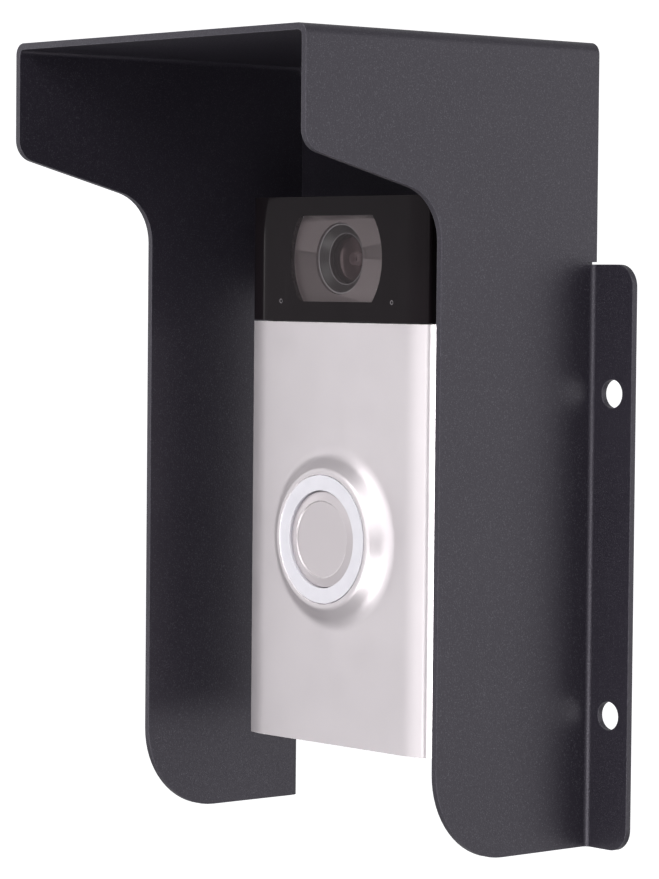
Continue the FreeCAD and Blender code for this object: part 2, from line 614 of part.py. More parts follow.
def hood():
    """Powder-coated steel sheet, folded: roof, two side panels, wall flanges and a rear plate."""
    half = "hood_width / 2"
    inner = "(hood_width / 2 - metal)"
    ceiling = f"({HOOD_TOP} - metal)"
    flange_top = f"({HOOD_TOP} - flange_drop)"
    brow_z = f"({HOOD_TOP} - brow_drop)"
    notch_z = f"({HOOD_TOP} - notch_drop)"
    beyond = "hood_depth + cut_over"
    below = f"{HOOD_BOTTOM} - cut_over"
    outer_bend = "bend + metal"
    piece = Piece("hood")
    piece.pad("XZ", "relief", "hood_depth", polygon(
        (f"-{half}", HOOD_BOTTOM), (f"-{inner}", HOOD_BOTTOM), (f"-{inner}", ceiling),
        (inner, ceiling), (inner, HOOD_BOTTOM), (half, HOOD_BOTTOM),
        (half, HOOD_TOP), (f"-{half}", HOOD_TOP)))
    piece.fillet("bend", along("Y", inner, ceiling), along("Y", f"-{inner}", ceiling))
    piece.fillet(outer_bend, along("Y", half, HOOD_TOP), along("Y", f"-{half}", HOOD_TOP))
    piece.cut("YZ", f"-({half} + cut_over)", f"({half} + cut_over)", polygon(
        ("-hood_side_depth", below), ("-hood_side_depth", notch_z), ("-hood_depth", brow_z),
        (f"-({beyond})", brow_z), (f"-({beyond})", below)))
    piece.fillet("notch_round", along("X", "-hood_side_depth", notch_z))
    piece.fillet("brow_round", along("X", "-hood_depth", brow_z))
    piece.fillet("foot_round", along("X", "-hood_side_depth", HOOD_BOTTOM))
    tip = f"({half} + flange_width)"
    piece.pad("XZ", "0", "metal", rectangle(inner, tip, HOOD_BOTTOM, flange_top))
    piece.pad("XZ", "0", "metal", rectangle(f"-{tip}", f"-{inner}", HOOD_BOTTOM, flange_top))
    shoulder = f"({HOOD_TOP} - bend - metal - relief)"
    piece.pad("XZ", "0", "metal", rectangle(
        "-tab_fold_width / 2", "tab_fold_width / 2", TAB_BOTTOM, HOOD_TOP))
    piece.pad("XZ", "0", "metal", rectangle(
        "-tab_width / 2", "tab_width / 2", TAB_BOTTOM, shoulder))
    slot_depth = "(bend + metal + relief_past)"
    piece.cut("XZ", "0", slot_depth, *[
        rectangle(*sided(side, "(tab_fold_width / 2)", "(tab_fold_width / 2 + relief_slot)"),
                  shoulder, f"({HOOD_TOP} + cut_over)")
        for side in SIDES])
    piece.cut("XZ", "0", slot_depth, *[
        rectangle(*sided(side, inner, f"({half} + bend + metal + relief_past)"),
                  flange_top, f"({flange_top} + relief_slot)")
        for side in SIDES])
    piece.fillet("flange_round", *[
        along("Y", signed(side, tip), level) for side in SIDES
        for level in (HOOD_BOTTOM, flange_top)])
    piece.fillet("tab_round", *[
        along("Y", signed(side, "tab_width / 2"), TAB_BOTTOM) for side in SIDES])
    piece.fillet("bend", along("Z", half, "-metal"), along("Z", f"-{half}", "-metal"))
    piece.fillet(outer_bend, along("Z", inner, "0"), along("Z", f"-{inner}", "0"))
    piece.fillet("bend", along("X", "-metal", ceiling))
    piece.fillet(outer_bend, along("X", "0", HOOD_TOP))
    hole_x = f"({half} + flange_hole_x)"
    piece.cut("XZ", "0", "metal", *[
        circle(signed(side, hole_x), f"{HOOD_BOTTOM} + flange_hole_low + {step} * flange_hole_pitch",
               "flange_hole_radius")
        for side in SIDES for step in (0, 1)])
    piece.cut("XZ", "0", "metal", *[
        circle(signed(side, "bracket_hole_x"), "bracket_hole_z", "bracket_hole_radius + tab_hole_extra")
        for side in SIDES])


def wall_bracket():
    """Moulded plate that is screwed to the wall, with ears and a shelf that hold the doorbell."""
    piece = Piece("wall_bracket")
    half = "(bracket_width / 2)"
    tab_edge = f"({TAB_BOTTOM} - fit_gap)"
    ear_back = "(bracket_reach - ear_thick)"
    piece.pad("XZ", "0", "bracket_reach", rectangle(f"-{half}", half, SHELF_LOW, tab_edge))
    piece.pad("XZ", "metal", "bracket_reach", rectangle(f"-{half}", half, tab_edge, BRACKET_TOP))
    piece.fillet("bracket_round", *[
        along("Y", signed(side, half), level) for side in SIDES
        for level in (SHELF_LOW, BRACKET_TOP)])
    for side, level in CORNERS:
        middle = signed(level, "ear_z")
        piece.pad("XZ", ear_back, "bracket_reach", rectangle(
            *sided(side, half, EAR_TIP),
            f"{middle} - ear_height / 2", f"{middle} + ear_height / 2"))
    piece.pad("XZ", "0", "shelf_reach", rectangle(
        "-shelf_width / 2", "shelf_width / 2", SHELF_LOW, SHELF_HIGH))
    piece.cut("XZ", "0", "bracket_reach", *[
        circle(signed(side, "bracket_hole_x"), signed(level, "bracket_hole_z"), "bracket_hole_radius")
        for side, level in CORNERS])
    piece.cut("XZ", "0", "bracket_reach", box_at("0", "wire_z", "wire_width", "wire_height"))
    piece.cut("XY", SHELF_LOW, SHELF_HIGH, circle("0", "-lock_reach", "lock_radius + lock_clearance"))


def rear_housing():
    """Black moulded box that holds everything: open in front, with a rim and ledges at the back."""
    piece = Piece("rear_housing")
    half_x, half_z = "bell_width / 2", "bell_height / 2"
    lip_x, lip_z = f"({half_x} - {LIP_INSET})", f"({half_z} - {LIP_INSET})"
    deep_x, deep_z = f"({CAVITY_X} - gasket_width)", f"({CAVITY_Z} - gasket_width)"
    ledge = "(frame_back - gasket_thick)"
    recess_x = f"({EAR_TIP} + fit_gap)"
    piece.pad("XZ", "housing_back", "housing_step", rectangle(
        f"-{half_x}", half_x, BELL_BOTTOM, BELL_TOP))
    piece.fillet("corner_round", *corner_edges("Y", half_x, half_z))
    piece.pad("XZ", "housing_step", "housing_front", rectangle(
        f"-{lip_x}", lip_x, f"-{lip_z}", lip_z))
    piece.cut("XZ", ledge, "housing_front", rectangle(
        f"-{CAVITY_X}", CAVITY_X, f"-{CAVITY_Z}", CAVITY_Z))
    piece.cut("XZ", FLOOR, ledge, rectangle(f"-{deep_x}", deep_x, f"-{deep_z}", deep_z))
    piece.pad("XZ", FLOOR, "boss_reach", rectangle(
        "-boss_width / 2", "boss_width / 2", BELL_BOTTOM, f"{BELL_BOTTOM} + boss_height"))
    piece.pad("XZ", FLOOR, "rear_board_back", box_at(
        "0", TERMINAL_Z, "(2 * terminal_x + terminal_size + 2 * block_side)",
        "(terminal_size + 2 * block_end)"))
    piece.cut("XZ", "housing_back", "recess_floor", rectangle(
        f"-{recess_x}", recess_x, f"{BELL_BOTTOM} - cut_over", f"{BELL_TOP} - {LIP_INSET} - shell_wall"))
    for side, level in CORNERS:
        middle = signed(level, "ear_z")
        inner = f"({recess_x} - ledge_width)"
        piece.pad("XZ", "housing_back", "housing_back + ledge_thick", rectangle(
            *sided(side, inner, recess_x), f"{middle} - ear_height / 2", f"{middle} + ear_height / 2"))
    piece.cut("XZ", "housing_back", "shelf_reach + fit_gap", rectangle(
        "-shelf_width / 2 - fit_gap", "shelf_width / 2 + fit_gap",
        f"{BELL_BOTTOM} - cut_over", SHELF_HIGH))
    piece.cut("XY", SHELF_HIGH, f"({SHELF_HIGH} + insert_length)",
              circle("0", "-lock_reach", "insert_radius"))
    posts = [(signed(side, "post_x"), signed(level, f"{BELL_TOP} - post_inset"))
             for side, level in CORNERS]
    piece.cut("XZ", "recess_floor", "recess_floor + screw_head", *[
        circle(across, up, "screw_head_radius + snug_gap") for across, up in posts])
    piece.cut("XZ", "recess_floor + screw_head", FLOOR, *[
        circle(across, up, "screw_radius") for across, up in posts])
    piece.cut("XZ", "recess_floor", FLOOR, box_at(
        "0", USB_Z, "(usb_width + 2 * snug_gap)", "(usb_height + 2 * snug_gap)"))
    piece.cut("XZ", "recess_floor", FLOOR, circle("setup_x", USB_Z, "setup_radius + setup_gap"))
    terminals = [(signed(side, "terminal_x"), TERMINAL_Z) for side in SIDES]
    pocket = "(terminal_size + 2 * terminal_room)"
    piece.cut("XZ", "recess_floor", TERMINAL_FLOOR, *[
        box_at(across, up, pocket, pocket)
        for across, up in terminals])
    piece.cut("XZ", TERMINAL_FLOOR, "rear_board_back", *[
        circle(across, up, "terminal_screw_radius") for across, up in terminals])


def front_frame():
    """Inner plate that closes the housing and carries the boards, the button and the camera."""
    piece = Piece("front_frame")
    half_x, half_z = f"({CAVITY_X} - snug_gap)", f"({CAVITY_Z} - snug_gap)"
    posts = [(signed(side, "post_x"), signed(level, f"{BELL_TOP} - post_inset"))
             for side, level in CORNERS]
    piece.pad("XZ", "frame_back", FRAME_FRONT, rectangle(
        f"-{half_x}", half_x, f"-{half_z}", half_z))
    piece.pad("XZ", FLOOR, "frame_back", *[
        circle(across, up, "post_radius") for across, up in posts])
    piece.cut("XZ", FLOOR, f"({FLOOR} + screw_length)", *[
        circle(across, up, "screw_radius") for across, up in posts])
    piece.cut("XZ", "frame_back", FRAME_FRONT, circle("0", LENS_Z, "lens_radius + fit_gap"))
    piece.cut("XZ", "frame_back", FRAME_FRONT, circle("0", BUTTON_Z, "ring_board_hole"))
    middle = (GRILLE_SLOTS - 1) / 2
    piece.cut("XZ", "frame_back", FRAME_FRONT, *[
        box_at("0", f"({SPEAKER_Z} + {index - middle} * grille_pitch)",
               "(speaker_width - 2 * grille_inset)", "grille_slot")
        for index in range(GRILLE_SLOTS)])
    piece.cut("XZ", "frame_back", FRAME_FRONT, *[
        circle(across, up, "peg_radius + snug_gap") for across, up in peg_places()])


def peg_places():
    """Where the faceplate's four snap pegs enter the frame."""
    levels = (f"({SEAM} - seam_gap - peg_inset)", f"({BELL_BOTTOM} + peg_inset)")
    return [(signed(side, "peg_x"), level) for side in SIDES for level in levels]


def shell_outline(sketch):
    """Plan section shared by the faceplate and camera cover: flat front, two curved sides.
    Each side is a long flat arc and a small one, tangent to the front, the side wall and each other."""
    half, crease = value("bell_width / 2"), value("crease_width / 2")
    front, drop, small = value("bell_reach"), value("side_drop"), value("edge_radius")
    back = value("skirt_reach")
    run = half - small - crease
    large = (run ** 2 + drop ** 2 - small ** 2) / (2 * (drop - small))
    side = Part.LineSegment(Vector(-half, -back, 0), Vector(-half, drop - front, 0))
    face = Part.LineSegment(Vector(-crease, -front, 0), Vector(crease, -front, 0))
    near, far = Vector(half - small, drop - front, 0), Vector(crease, large - front, 0)
    touch = near + (near - far) * (small / (near - far).Length)
    lean = math.atan2(touch.y - near.y, touch.x - near.x)

    def arc(centre, radius, start, end):
        return Part.ArcOfCircle(Part.Circle(centre, Vector(0, 0, 1), radius), start, end)

    def flip(point):
        return Vector(-point.x, point.y, 0)

    side_l = sketch.addGeometry(side, False)
    small_l = sketch.addGeometry(arc(flip(near), small, math.pi, math.pi - lean), False)
    large_l = sketch.addGeometry(arc(flip(far), large, math.pi - lean, 1.5 * math.pi), False)
    front_line = sketch.addGeometry(face, False)
    large_r = sketch.addGeometry(arc(far, large, 1.5 * math.pi, 2 * math.pi + lean), False)
    small_r = sketch.addGeometry(arc(near, small, 2 * math.pi + lean, 2 * math.pi), False)
    side_r = sketch.addGeometry(
        Part.LineSegment(Vector(half, drop - front, 0), Vector(half, -back, 0)), False)
    rear = sketch.addGeometry(
        Part.LineSegment(Vector(half, -back, 0), Vector(-half, -back, 0)), False)
    for first, second in ((side_l, small_l), (small_l, large_l), (large_l, front_line),
                          (front_line, large_r), (large_r, small_r), (small_r, side_r)):
        sketch.addConstraint(Sketcher.Constraint("Tangent", first, 2, second, 1))
    for first, second in ((side_r, rear), (rear, side_l)):
        sketch.addConstraint(Sketcher.Constraint("Coincident", first, 2, second, 1))
    size(sketch, "Radius", small_l, "edge_radius")
    size(sketch, "Radius", small_r, "edge_radius")
    pin(sketch, side_l, 1, "-bell_width / 2", "-skirt_reach")
    pin(sketch, side_l, 2, "-bell_width / 2", "side_drop - bell_reach")
    pin(sketch, side_r, 1, "bell_width / 2", "side_drop - bell_reach")
    pin(sketch, side_r, 2, "bell_width / 2", "-skirt_reach")
    pin(sketch, front_line, 1, "-crease_width / 2", "-bell_reach")
    pin(sketch, front_line, 2, "crease_width / 2", "-bell_reach")


def shell_hollow():
    """Inside of that section: straight walls with their front corners cut off."""
    half, front = "(bell_width / 2 - skin)", f"(-{FACE_BACK})"
    bevel_x, bevel_y = "(bell_width / 2 - skin - hollow_bevel)", f"({front} + side_drop)"
    return polygon((f"-{half}", "cut_over - skirt_reach"), (f"-{half}", bevel_y), (f"-{bevel_x}", front),
                   (bevel_x, front), (half, bevel_y), (half, "cut_over - skirt_reach"))


def dome_outline(sketch):
    """Half section of the dome: level rim, crest arc, straight slope, foot arc, then its inside.
    It starts at the hole for the light ring and ends at the foot, in the faceplate's thickness."""
    hole, rim, foot = value("ring_radius + ring_gap"), value("dome_rim"), value("dome_radius")
    face, top = value("bell_reach"), value("bell_reach + dome_height")
    crest_r, foot_r, skin = value("dome_crest_round"), value("dome_foot_round"), value("skin")
    crest, base = Vector(rim, crest_r - top, 0), Vector(foot, -foot_r - face, 0)
    across = base - crest
    # The slope touches both circles from opposite sides, so its angle follows from their spacing
    tilt = math.atan2(across.y, across.x) + math.asin((crest_r + foot_r) / across.Length)
    normal = Vector(math.sin(tilt), -math.cos(tilt), 0)
    start, end = crest + normal * crest_r, base - normal * foot_r

    def bow(centre, radius, first, last):
        angles = [math.atan2(p.y - centre.y, p.x - centre.x) for p in (first, last)]
        return Part.ArcOfCircle(Part.Circle(centre, Vector(0, 0, 1), radius), *angles)

    lines = [
        Part.LineSegment(Vector(hole, -top, 0), Vector(rim, -top, 0)),
        bow(crest, crest_r, Vector(rim, -top, 0), start),
        Part.LineSegment(start, end),
        bow(base, foot_r, Vector(foot, -face, 0), end),
        Part.LineSegment(Vector(foot, -face, 0), Vector(foot, skin - face, 0)),
        Part.LineSegment(Vector(foot, skin - face, 0), Vector(foot - 2 * skin, skin - face, 0)),
        Part.LineSegment(Vector(foot - 2 * skin, skin - face, 0), Vector(rim, skin - top, 0)),
        Part.LineSegment(Vector(rim, skin - top, 0), Vector(hole, skin - top, 0)),
        Part.LineSegment(Vector(hole, skin - top, 0), Vector(hole, -top, 0)),
    ]
    level, crest_arc, slope, foot_arc, drop, floor, under, lip, bore = [
        sketch.addGeometry(line, False) for line in lines]
    for first, end_1, second, end_2 in ((level, 2, crest_arc, 1), (crest_arc, 2, slope, 1),
                                        (slope, 2, foot_arc, 2)):
        sketch.addConstraint(Sketcher.Constraint("Tangent", first, end_1, second, end_2))
    for first, end_1, second, end_2 in ((drop, 2, floor, 1), (floor, 2, under, 1),
                                        (under, 2, lip, 1), (lip, 2, bore, 1),
                                        (bore, 2, level, 1)):
        sketch.addConstraint(Sketcher.Constraint("Coincident", first, end_1, second, end_2))
    sketch.addConstraint(Sketcher.Constraint("Perpendicular", foot_arc, 1, drop, 1))
    size(sketch, "Radius", crest_arc, "dome_crest_round")
    size(sketch, "Radius", foot_arc, "dome_foot_round")
    top_words, hole_words = "-(bell_reach + dome_height)", "ring_radius + ring_gap"
    pin(sketch, level, 1, hole_words, top_words)
    pin(sketch, level, 2, "dome_rim", top_words)
    pin(sketch, drop, 1, "dome_radius", "-bell_reach")
    pin(sketch, drop, 2, "dome_radius", "skin - bell_reach")
    pin(sketch, under, 1, "dome_radius - 2 * skin", "skin - bell_reach")
    pin(sketch, lip, 1, "dome_rim", f"skin + {top_words}")
    pin(sketch, bore, 1, hole_words, f"skin + {top_words}")


def faceplate():
    """Satin metal front: a tray with curved sides, a dome round the button and four snap pegs."""
    piece = Piece("faceplate")
    top = f"({SEAM} - seam_gap)"
    piece.pad("XY", BELL_BOTTOM, top, shell_outline)
    piece.cut("XY", f"({BELL_BOTTOM} + skin)", f"({top} + cut_over)", shell_hollow())
    piece.cut("XZ", FACE_BACK, "bell_reach", circle("0", BUTTON_Z, "dome_radius - 2 * skin"))
    piece.turn("0", BUTTON_Z, dome_outline)
    piece.pad("XZ", f"({FRAME_FRONT} - peg_bite)", FACE_BACK, *[
        circle(across, up, "peg_radius") for across, up in peg_places()])
    middle = (SOUND_SLOTS - 1) / 2
    slot_reach = "(housing_front + bell_reach - skin) / 2"
    piece.cut("XY", BELL_BOTTOM, f"({BELL_BOTTOM} + skin)", *[
        box_at(f"({index - middle} * sound_slot_pitch)", f"-{slot_reach}", "sound_slot_width", "skin")
        for index in range(SOUND_SLOTS)])


def camera_cover():
    """Gloss black cap over the camera, with the same section as the faceplate."""
    piece = Piece("camera_cover")
    piece.pad("XY", SEAM, BELL_TOP, shell_outline)
    piece.cut("XY", f"({SEAM} - cut_over)", f"({BELL_TOP} - skin)", shell_hollow())
    piece.cut("XZ", FACE_BACK, "bell_reach", cut_circle("0", LENS_Z, "window_radius", "window_half"))
    piece.cut("XZ", FACE_BACK, "bell_reach", *[
        circle(signed(side, "port_x"), PORT_Z, "port_radius") for side in SIDES])


def camera_optics():
    """Everything behind the camera cover, from the window back to the camera board."""
    gap = "snug_gap"
    Piece("camera_window").pad("XZ", FACE_BACK, "bell_reach", cut_circle(
        "0", LENS_Z, f"(window_radius - {gap})", f"(window_half - {gap})"))
    plate = Piece("lens_plate")
    plate.pad("XZ", PLATE_BACK, FACE_BACK, cut_circle(
        "0", LENS_Z, "(window_radius + plate_margin)", "(window_half + plate_margin)"))
    plate.cut("XZ", PLATE_BACK, FACE_BACK, circle("0", LENS_Z, "lens_radius"))

    outer, seat = "(lens_radius - bezel_gap)", f"(glass_radius + {gap})"
    Piece("lens_bezel").turn("0", LENS_Z, polygon(
        (outer, "-bezel_front"), (f"({outer} - bezel_rim)", "-bezel_front"),
        (seat, "-funnel_back"), (seat, "-glass_back"), ("barrel_bore", "-glass_back"),
        ("barrel_bore", "-bezel_back"), (outer, "-bezel_back")))
    lens_front()
    barrel = Piece("lens_barrel")
    barrel.turn("0", LENS_Z, polygon(
        ("barrel_bore", "-bezel_back"), ("barrel_radius", "-bezel_back"),
        ("barrel_radius", "-barrel_back"), ("barrel_bore", "-barrel_back")))
    stop_back = "(bezel_back - stop_thick)"
    Piece("aperture_disc").turn("0", LENS_Z, polygon(
        ("stop_radius", "-bezel_back"), ("barrel_bore", "-bezel_back"),
        ("barrel_bore", f"-{stop_back}"), ("stop_radius", f"-{stop_back}")))
    Piece("middle_lens").pad("XZ", f"({stop_back} - inner_lens_thick)", stop_back,
                             circle("0", LENS_Z, "barrel_bore"))
    rear_lens_back = "(barrel_back + barrel_lip)"
    Piece("rear_lens").pad("XZ", rear_lens_back, f"({rear_lens_back} + inner_lens_thick)",
                           circle("0", LENS_Z, "barrel_bore"))
    holder = Piece("camera_holder")
    holder.pad("XZ", CAMERA_BOARD_FRONT, "barrel_back",
               box_at("0", LENS_Z, "holder_size", "holder_size"))
    room = "(holder_size - 2 * holder_wall)"
    ceiling = "(barrel_back - holder_front)"
    holder.cut("XZ", CAMERA_BOARD_FRONT, ceiling, box_at("0", LENS_Z, room, room))
    holder.cut("XZ", CAMERA_BOARD_FRONT, "barrel_back",
               circle("0", LENS_Z, "barrel_bore - holder_lip"))
    Piece("infrared_filter").pad("XZ", f"({ceiling} - filter_thick)", ceiling,
                                 box_at("0", LENS_Z, "(2 * barrel_bore)", "(2 * barrel_bore)"))
    Piece("image_sensor").pad("XZ", CAMERA_BOARD_FRONT, SENSOR_FRONT,
                              box_at("0", LENS_Z, "sensor_size", "sensor_size"))
    Piece("camera_board").pad("XZ", "camera_board_back", CAMERA_BOARD_FRONT, box_at(
        "0", LENS_Z, "camera_board_width", "camera_board_height"))
    lamps = [box_at(signed(side, "night_lamp_x"), LENS_Z, "night_lamp_size", "night_lamp_size")
             for side in SIDES]
    Piece("infrared_lamps").pad("XZ", FRAME_FRONT, f"({PLATE_BACK} - lamp_gap)", *lamps)
    ports = [(signed(side, "port_x"), PORT_Z) for side in SIDES]
    Piece("port_meshes").pad("XZ", f"({FACE_BACK} - mesh_thick)", FACE_BACK, *[
        circle(across, up, "mesh_radius") for across, up in ports])
    Piece("microphones").pad("XZ", FRAME_FRONT, f"({FACE_BACK} - mesh_thick)", *[
        circle(across, up, "mic_radius") for across, up in ports])


def lens_front():
    """Front lens: a disc with a spherical front."""
    radius, crown = value("glass_radius"), value("glass_crown")
    edge = value("glass_back + glass_edge")
    ball = (radius ** 2 + crown ** 2) / (2 * crown)

    def draw(sketch):
        apex, rim = Vector(0, -edge - crown, 0), Vector(radius, -edge, 0)
        centre = Vector(0, ball - edge - crown, 0)
        corners = (rim, Vector(radius, -value("glass_back"), 0), Vector(0, -value("glass_back"), 0))
        whole = Part.Circle(centre, Vector(0, 0, 1), ball)
        lean = math.asin(radius / ball)
        cap = sketch.addGeometry(
            Part.ArcOfCircle(whole, -math.pi / 2, lean - math.pi / 2), False)
        side = sketch.addGeometry(Part.LineSegment(corners[0], corners[1]), False)
        back = sketch.addGeometry(Part.LineSegment(corners[1], corners[2]), False)
        axis = sketch.addGeometry(Part.LineSegment(corners[2], apex), False)
        for first, end_1, second in ((cap, 2, side), (side, 2, back), (back, 2, axis)):
            sketch.addConstraint(Sketcher.Constraint("Coincident", first, end_1, second, 1))
        sketch.addConstraint(Sketcher.Constraint("Coincident", axis, 2, cap, 1))
        sketch.addConstraint(Sketcher.Constraint("PointOnObject", cap, 3, -2))
        pin(sketch, side, 1, "glass_radius", "-(glass_back + glass_edge)")
        pin(sketch, back, 1, "glass_radius", "-glass_back")
        pin(sketch, axis, 1, "0", "-glass_back")
        pin(sketch, axis, 2, "0", "-(glass_back + glass_edge + glass_crown)")

    Piece("front_lens").turn("0", LENS_Z, draw)


def button_parts():
    """Light ring, button cap, its seal and switch, and the ring's board and lamps."""
    skirt_inner = "(ring_skirt - ring_skirt_wall)"
    over_leds = f"({RING_BOARD_FRONT} + led_thick + fit_gap)"
    Piece("light_ring").turn("0", BUTTON_Z, polygon(
        ("ring_inner", "-ring_lens_back"), ("ring_inner", f"-{RING_FRONT}"),
        ("ring_radius", f"-{RING_FRONT}"), ("ring_radius", "-ring_shoulder"),
        ("ring_skirt", "-ring_shoulder"), ("ring_skirt", f"-{FRAME_FRONT}"),
        (skirt_inner, f"-{FRAME_FRONT}"), (skirt_inner, f"-{over_leds}"),
        ("ring_lens_foot", f"-{over_leds}"), ("ring_lens_foot", "-ring_lens_back")))
    cap = Piece("button_cap")
    cap.turn("0", BUTTON_Z, polygon(
        ("0", f"-({BUTTON_TOP} - button_dish)"),
        ("(button_dish_radius - dish_slope)", f"-({BUTTON_TOP} - button_dish)"),
        ("button_dish_radius", f"-{BUTTON_TOP}"),
        ("button_radius", f"-({BUTTON_TOP} - button_fall)"),
        ("button_radius", f"-{FLANGE_FRONT}"), ("button_flange", f"-{FLANGE_FRONT}"),
        ("button_flange", f"-{BUTTON_BACK}"), ("stem_radius", f"-{BUTTON_BACK}"),
        ("stem_radius", f"-{STEM_END}"), ("0", f"-{STEM_END}")))
    bore_floor = f"({SWITCH_FRONT} - switch_bore)"
    Piece("switch_plunger").pad("XZ", f"({bore_floor} + button_stroke + plunger_gap)", STEM_END,
                                circle("0", BUTTON_Z, "plunger_radius"))
    switch = Piece("button_switch")
    switch.pad("XZ", BOARD_FRONT, SWITCH_FRONT, box_at("0", BUTTON_Z, "switch_size", "switch_size"))
    switch.cut("XZ", bore_floor, SWITCH_FRONT,
               circle("0", BUTTON_Z, "plunger_radius + snug_gap"))
    seal = Piece("button_seal")
    seal_front = f"({BUTTON_BACK} - button_stroke - press_gap)"
    seal.pad("XZ", RING_BOARD_FRONT, seal_front, circle("0", BUTTON_Z, "seal_outer"))
    seal.cut("XZ", RING_BOARD_FRONT, seal_front, circle("0", BUTTON_Z, "seal_inner"))
    board = Piece("ring_board")
    board.pad("XZ", FRAME_FRONT, RING_BOARD_FRONT, circle("0", BUTTON_Z, "ring_board_radius"))
    board.cut("XZ", FRAME_FRONT, RING_BOARD_FRONT, circle("0", BUTTON_Z, "ring_board_hole"))
    spots = []
    for index in range(RING_LEDS):
        angle = 2 * math.pi * index / RING_LEDS
        across = f"({math.cos(angle):.6f} * ring_led_radius)"
        up = f"({BUTTON_Z} + {math.sin(angle):.6f} * ring_led_radius)"
        spots.append(box_at(across, up, "led_size", "led_size"))
    Piece("ring_lamps").pad("XZ", RING_BOARD_FRONT, f"({RING_BOARD_FRONT} + led_thick)", *spots)


def electronics():
    """Main board with its shield, chip and plug, the battery, the speaker and the antenna."""
    board_z = f"({BOARD_LOW} + board_height / 2)"
    Piece("main_board").pad("XZ", "board_back", BOARD_FRONT, box_at(
        "0", board_z, "board_width", "board_height"))
    shield_z = f"({BUTTON_Z} + switch_size / 2 + shield_gap + shield_height / 2)"
    shield_front = f"({BOARD_FRONT} + shield_thick)"
    shield = Piece("shield_can")
    shield.pad("XZ", BOARD_FRONT, shield_front, box_at(
        "0", shield_z, "shield_width", "shield_height"))
    shield.cut("XZ", BOARD_FRONT, f"({shield_front} - shield_skin)", box_at(
        "0", shield_z, "(shield_width - 2 * shield_skin)", "(shield_height - 2 * shield_skin)"))
    Piece("processor").pad("XZ", BOARD_FRONT, f"({BOARD_FRONT} + chip_thick)", box_at(
        "0", shield_z, "chip_size", "chip_size"))

    battery_z = f"({BATTERY_LOW} + battery_height / 2)"
    battery = Piece("battery_pack")
    battery.pad("XZ", BATTERY_BACK, BATTERY_FRONT, box_at(
        "0", battery_z, "battery_width", "battery_height"))
    battery.fillet("battery_round", *corner_edges("Y", "battery_width / 2", "battery_height / 2",
                                                  battery_z))
    Piece("battery_foam").pad("XZ", FLOOR, BATTERY_BACK, box_at(
        "0", battery_z, "(battery_width - 2 * foam_inset)", "(battery_height - 2 * foam_inset)"))
    plug_x = "(plug_side - board_width / 2)"
    plug_z = f"({BOARD_HIGH} - plug_height)"
    Piece("battery_plug").pad("XZ", "(board_back - plug_thick)", "board_back", box_at(
        plug_x, plug_z, "plug_width", "plug_height"))
    battery_leads(plug_x, f"({plug_z} + plug_height / 2)")

    speaker_back = "(frame_back - gasket_thick - speaker_thick)"
    speaker = Piece("speaker")
    speaker.pad("XZ", speaker_back, "(frame_back - gasket_thick)", box_at(
        "0", SPEAKER_Z, "speaker_width", "speaker_height"))
    speaker.fillet("speaker_round", *corner_edges("Y", "speaker_width / 2", "speaker_height / 2",
                                                  SPEAKER_Z))
    gasket = Piece("speaker_gasket")
    gasket.pad("XZ", "(frame_back - gasket_thick)", "frame_back", box_at(
        "0", SPEAKER_Z, "speaker_width", "speaker_height"))
    gasket.cut("XZ", "(frame_back - gasket_thick)", "frame_back", box_at(
        "0", SPEAKER_Z, "(speaker_width - 2 * speaker_seal_x)",
        "(speaker_height - 2 * speaker_seal_z)"))

    antenna_x = f"({CAVITY_X} - gasket_width)"
    Piece("antenna").pad("YZ", f"({antenna_x} - antenna_thick)", antenna_x, rectangle(
        f"-({FLOOR} + antenna_back + antenna_depth)", f"-({FLOOR} + antenna_back)",
        "-antenna_height / 2", "antenna_height / 2"))

    camera_low = f"({LENS_Z} - camera_board_height / 2)"
    camera_end = f"({LENS_Z} - holder_size / 2 - fit_gap)"
    Piece("camera_ribbon").pad("YZ", "-ribbon_width / 2", "ribbon_width / 2", polygon(
        (f"-{CAMERA_BOARD_FRONT}", camera_end),
        (f"-{CAMERA_BOARD_FRONT}", f"{camera_low} - ribbon_clear"),
        (f"-({BOARD_FRONT})", f"{BOARD_HIGH} + ribbon_clear"),
        (f"-({BOARD_FRONT})", f"{BOARD_HIGH} - ribbon_land"),
        (f"-({BOARD_FRONT} + ribbon_thick)", f"{BOARD_HIGH} - ribbon_land"),
        (f"-({BOARD_FRONT} + ribbon_thick)", f"{BOARD_HIGH} + ribbon_clear + ribbon_skew"),
        (f"-({CAMERA_BOARD_FRONT} + ribbon_thick)", f"{camera_low} - ribbon_clear + ribbon_skew"),
        (f"-({CAMERA_BOARD_FRONT} + ribbon_thick)", camera_end)))

    ring = Piece("housing_gasket")
    outer_x, outer_z = f"({CAVITY_X} - snug_gap)", f"({CAVITY_Z} - snug_gap)"
    inner_x, inner_z = f"({CAVITY_X} - gasket_width)", f"({CAVITY_Z} - gasket_width)"
    ring.pad("XZ", "(frame_back - gasket_thick)", "frame_back", rectangle(
        f"-{outer_x}", outer_x, f"-{outer_z}", outer_z))
    ring.cut("XZ", "(frame_back - gasket_thick)", "frame_back", rectangle(
        f"-{inner_x}", inner_x, f"-{inner_z}", inner_z))


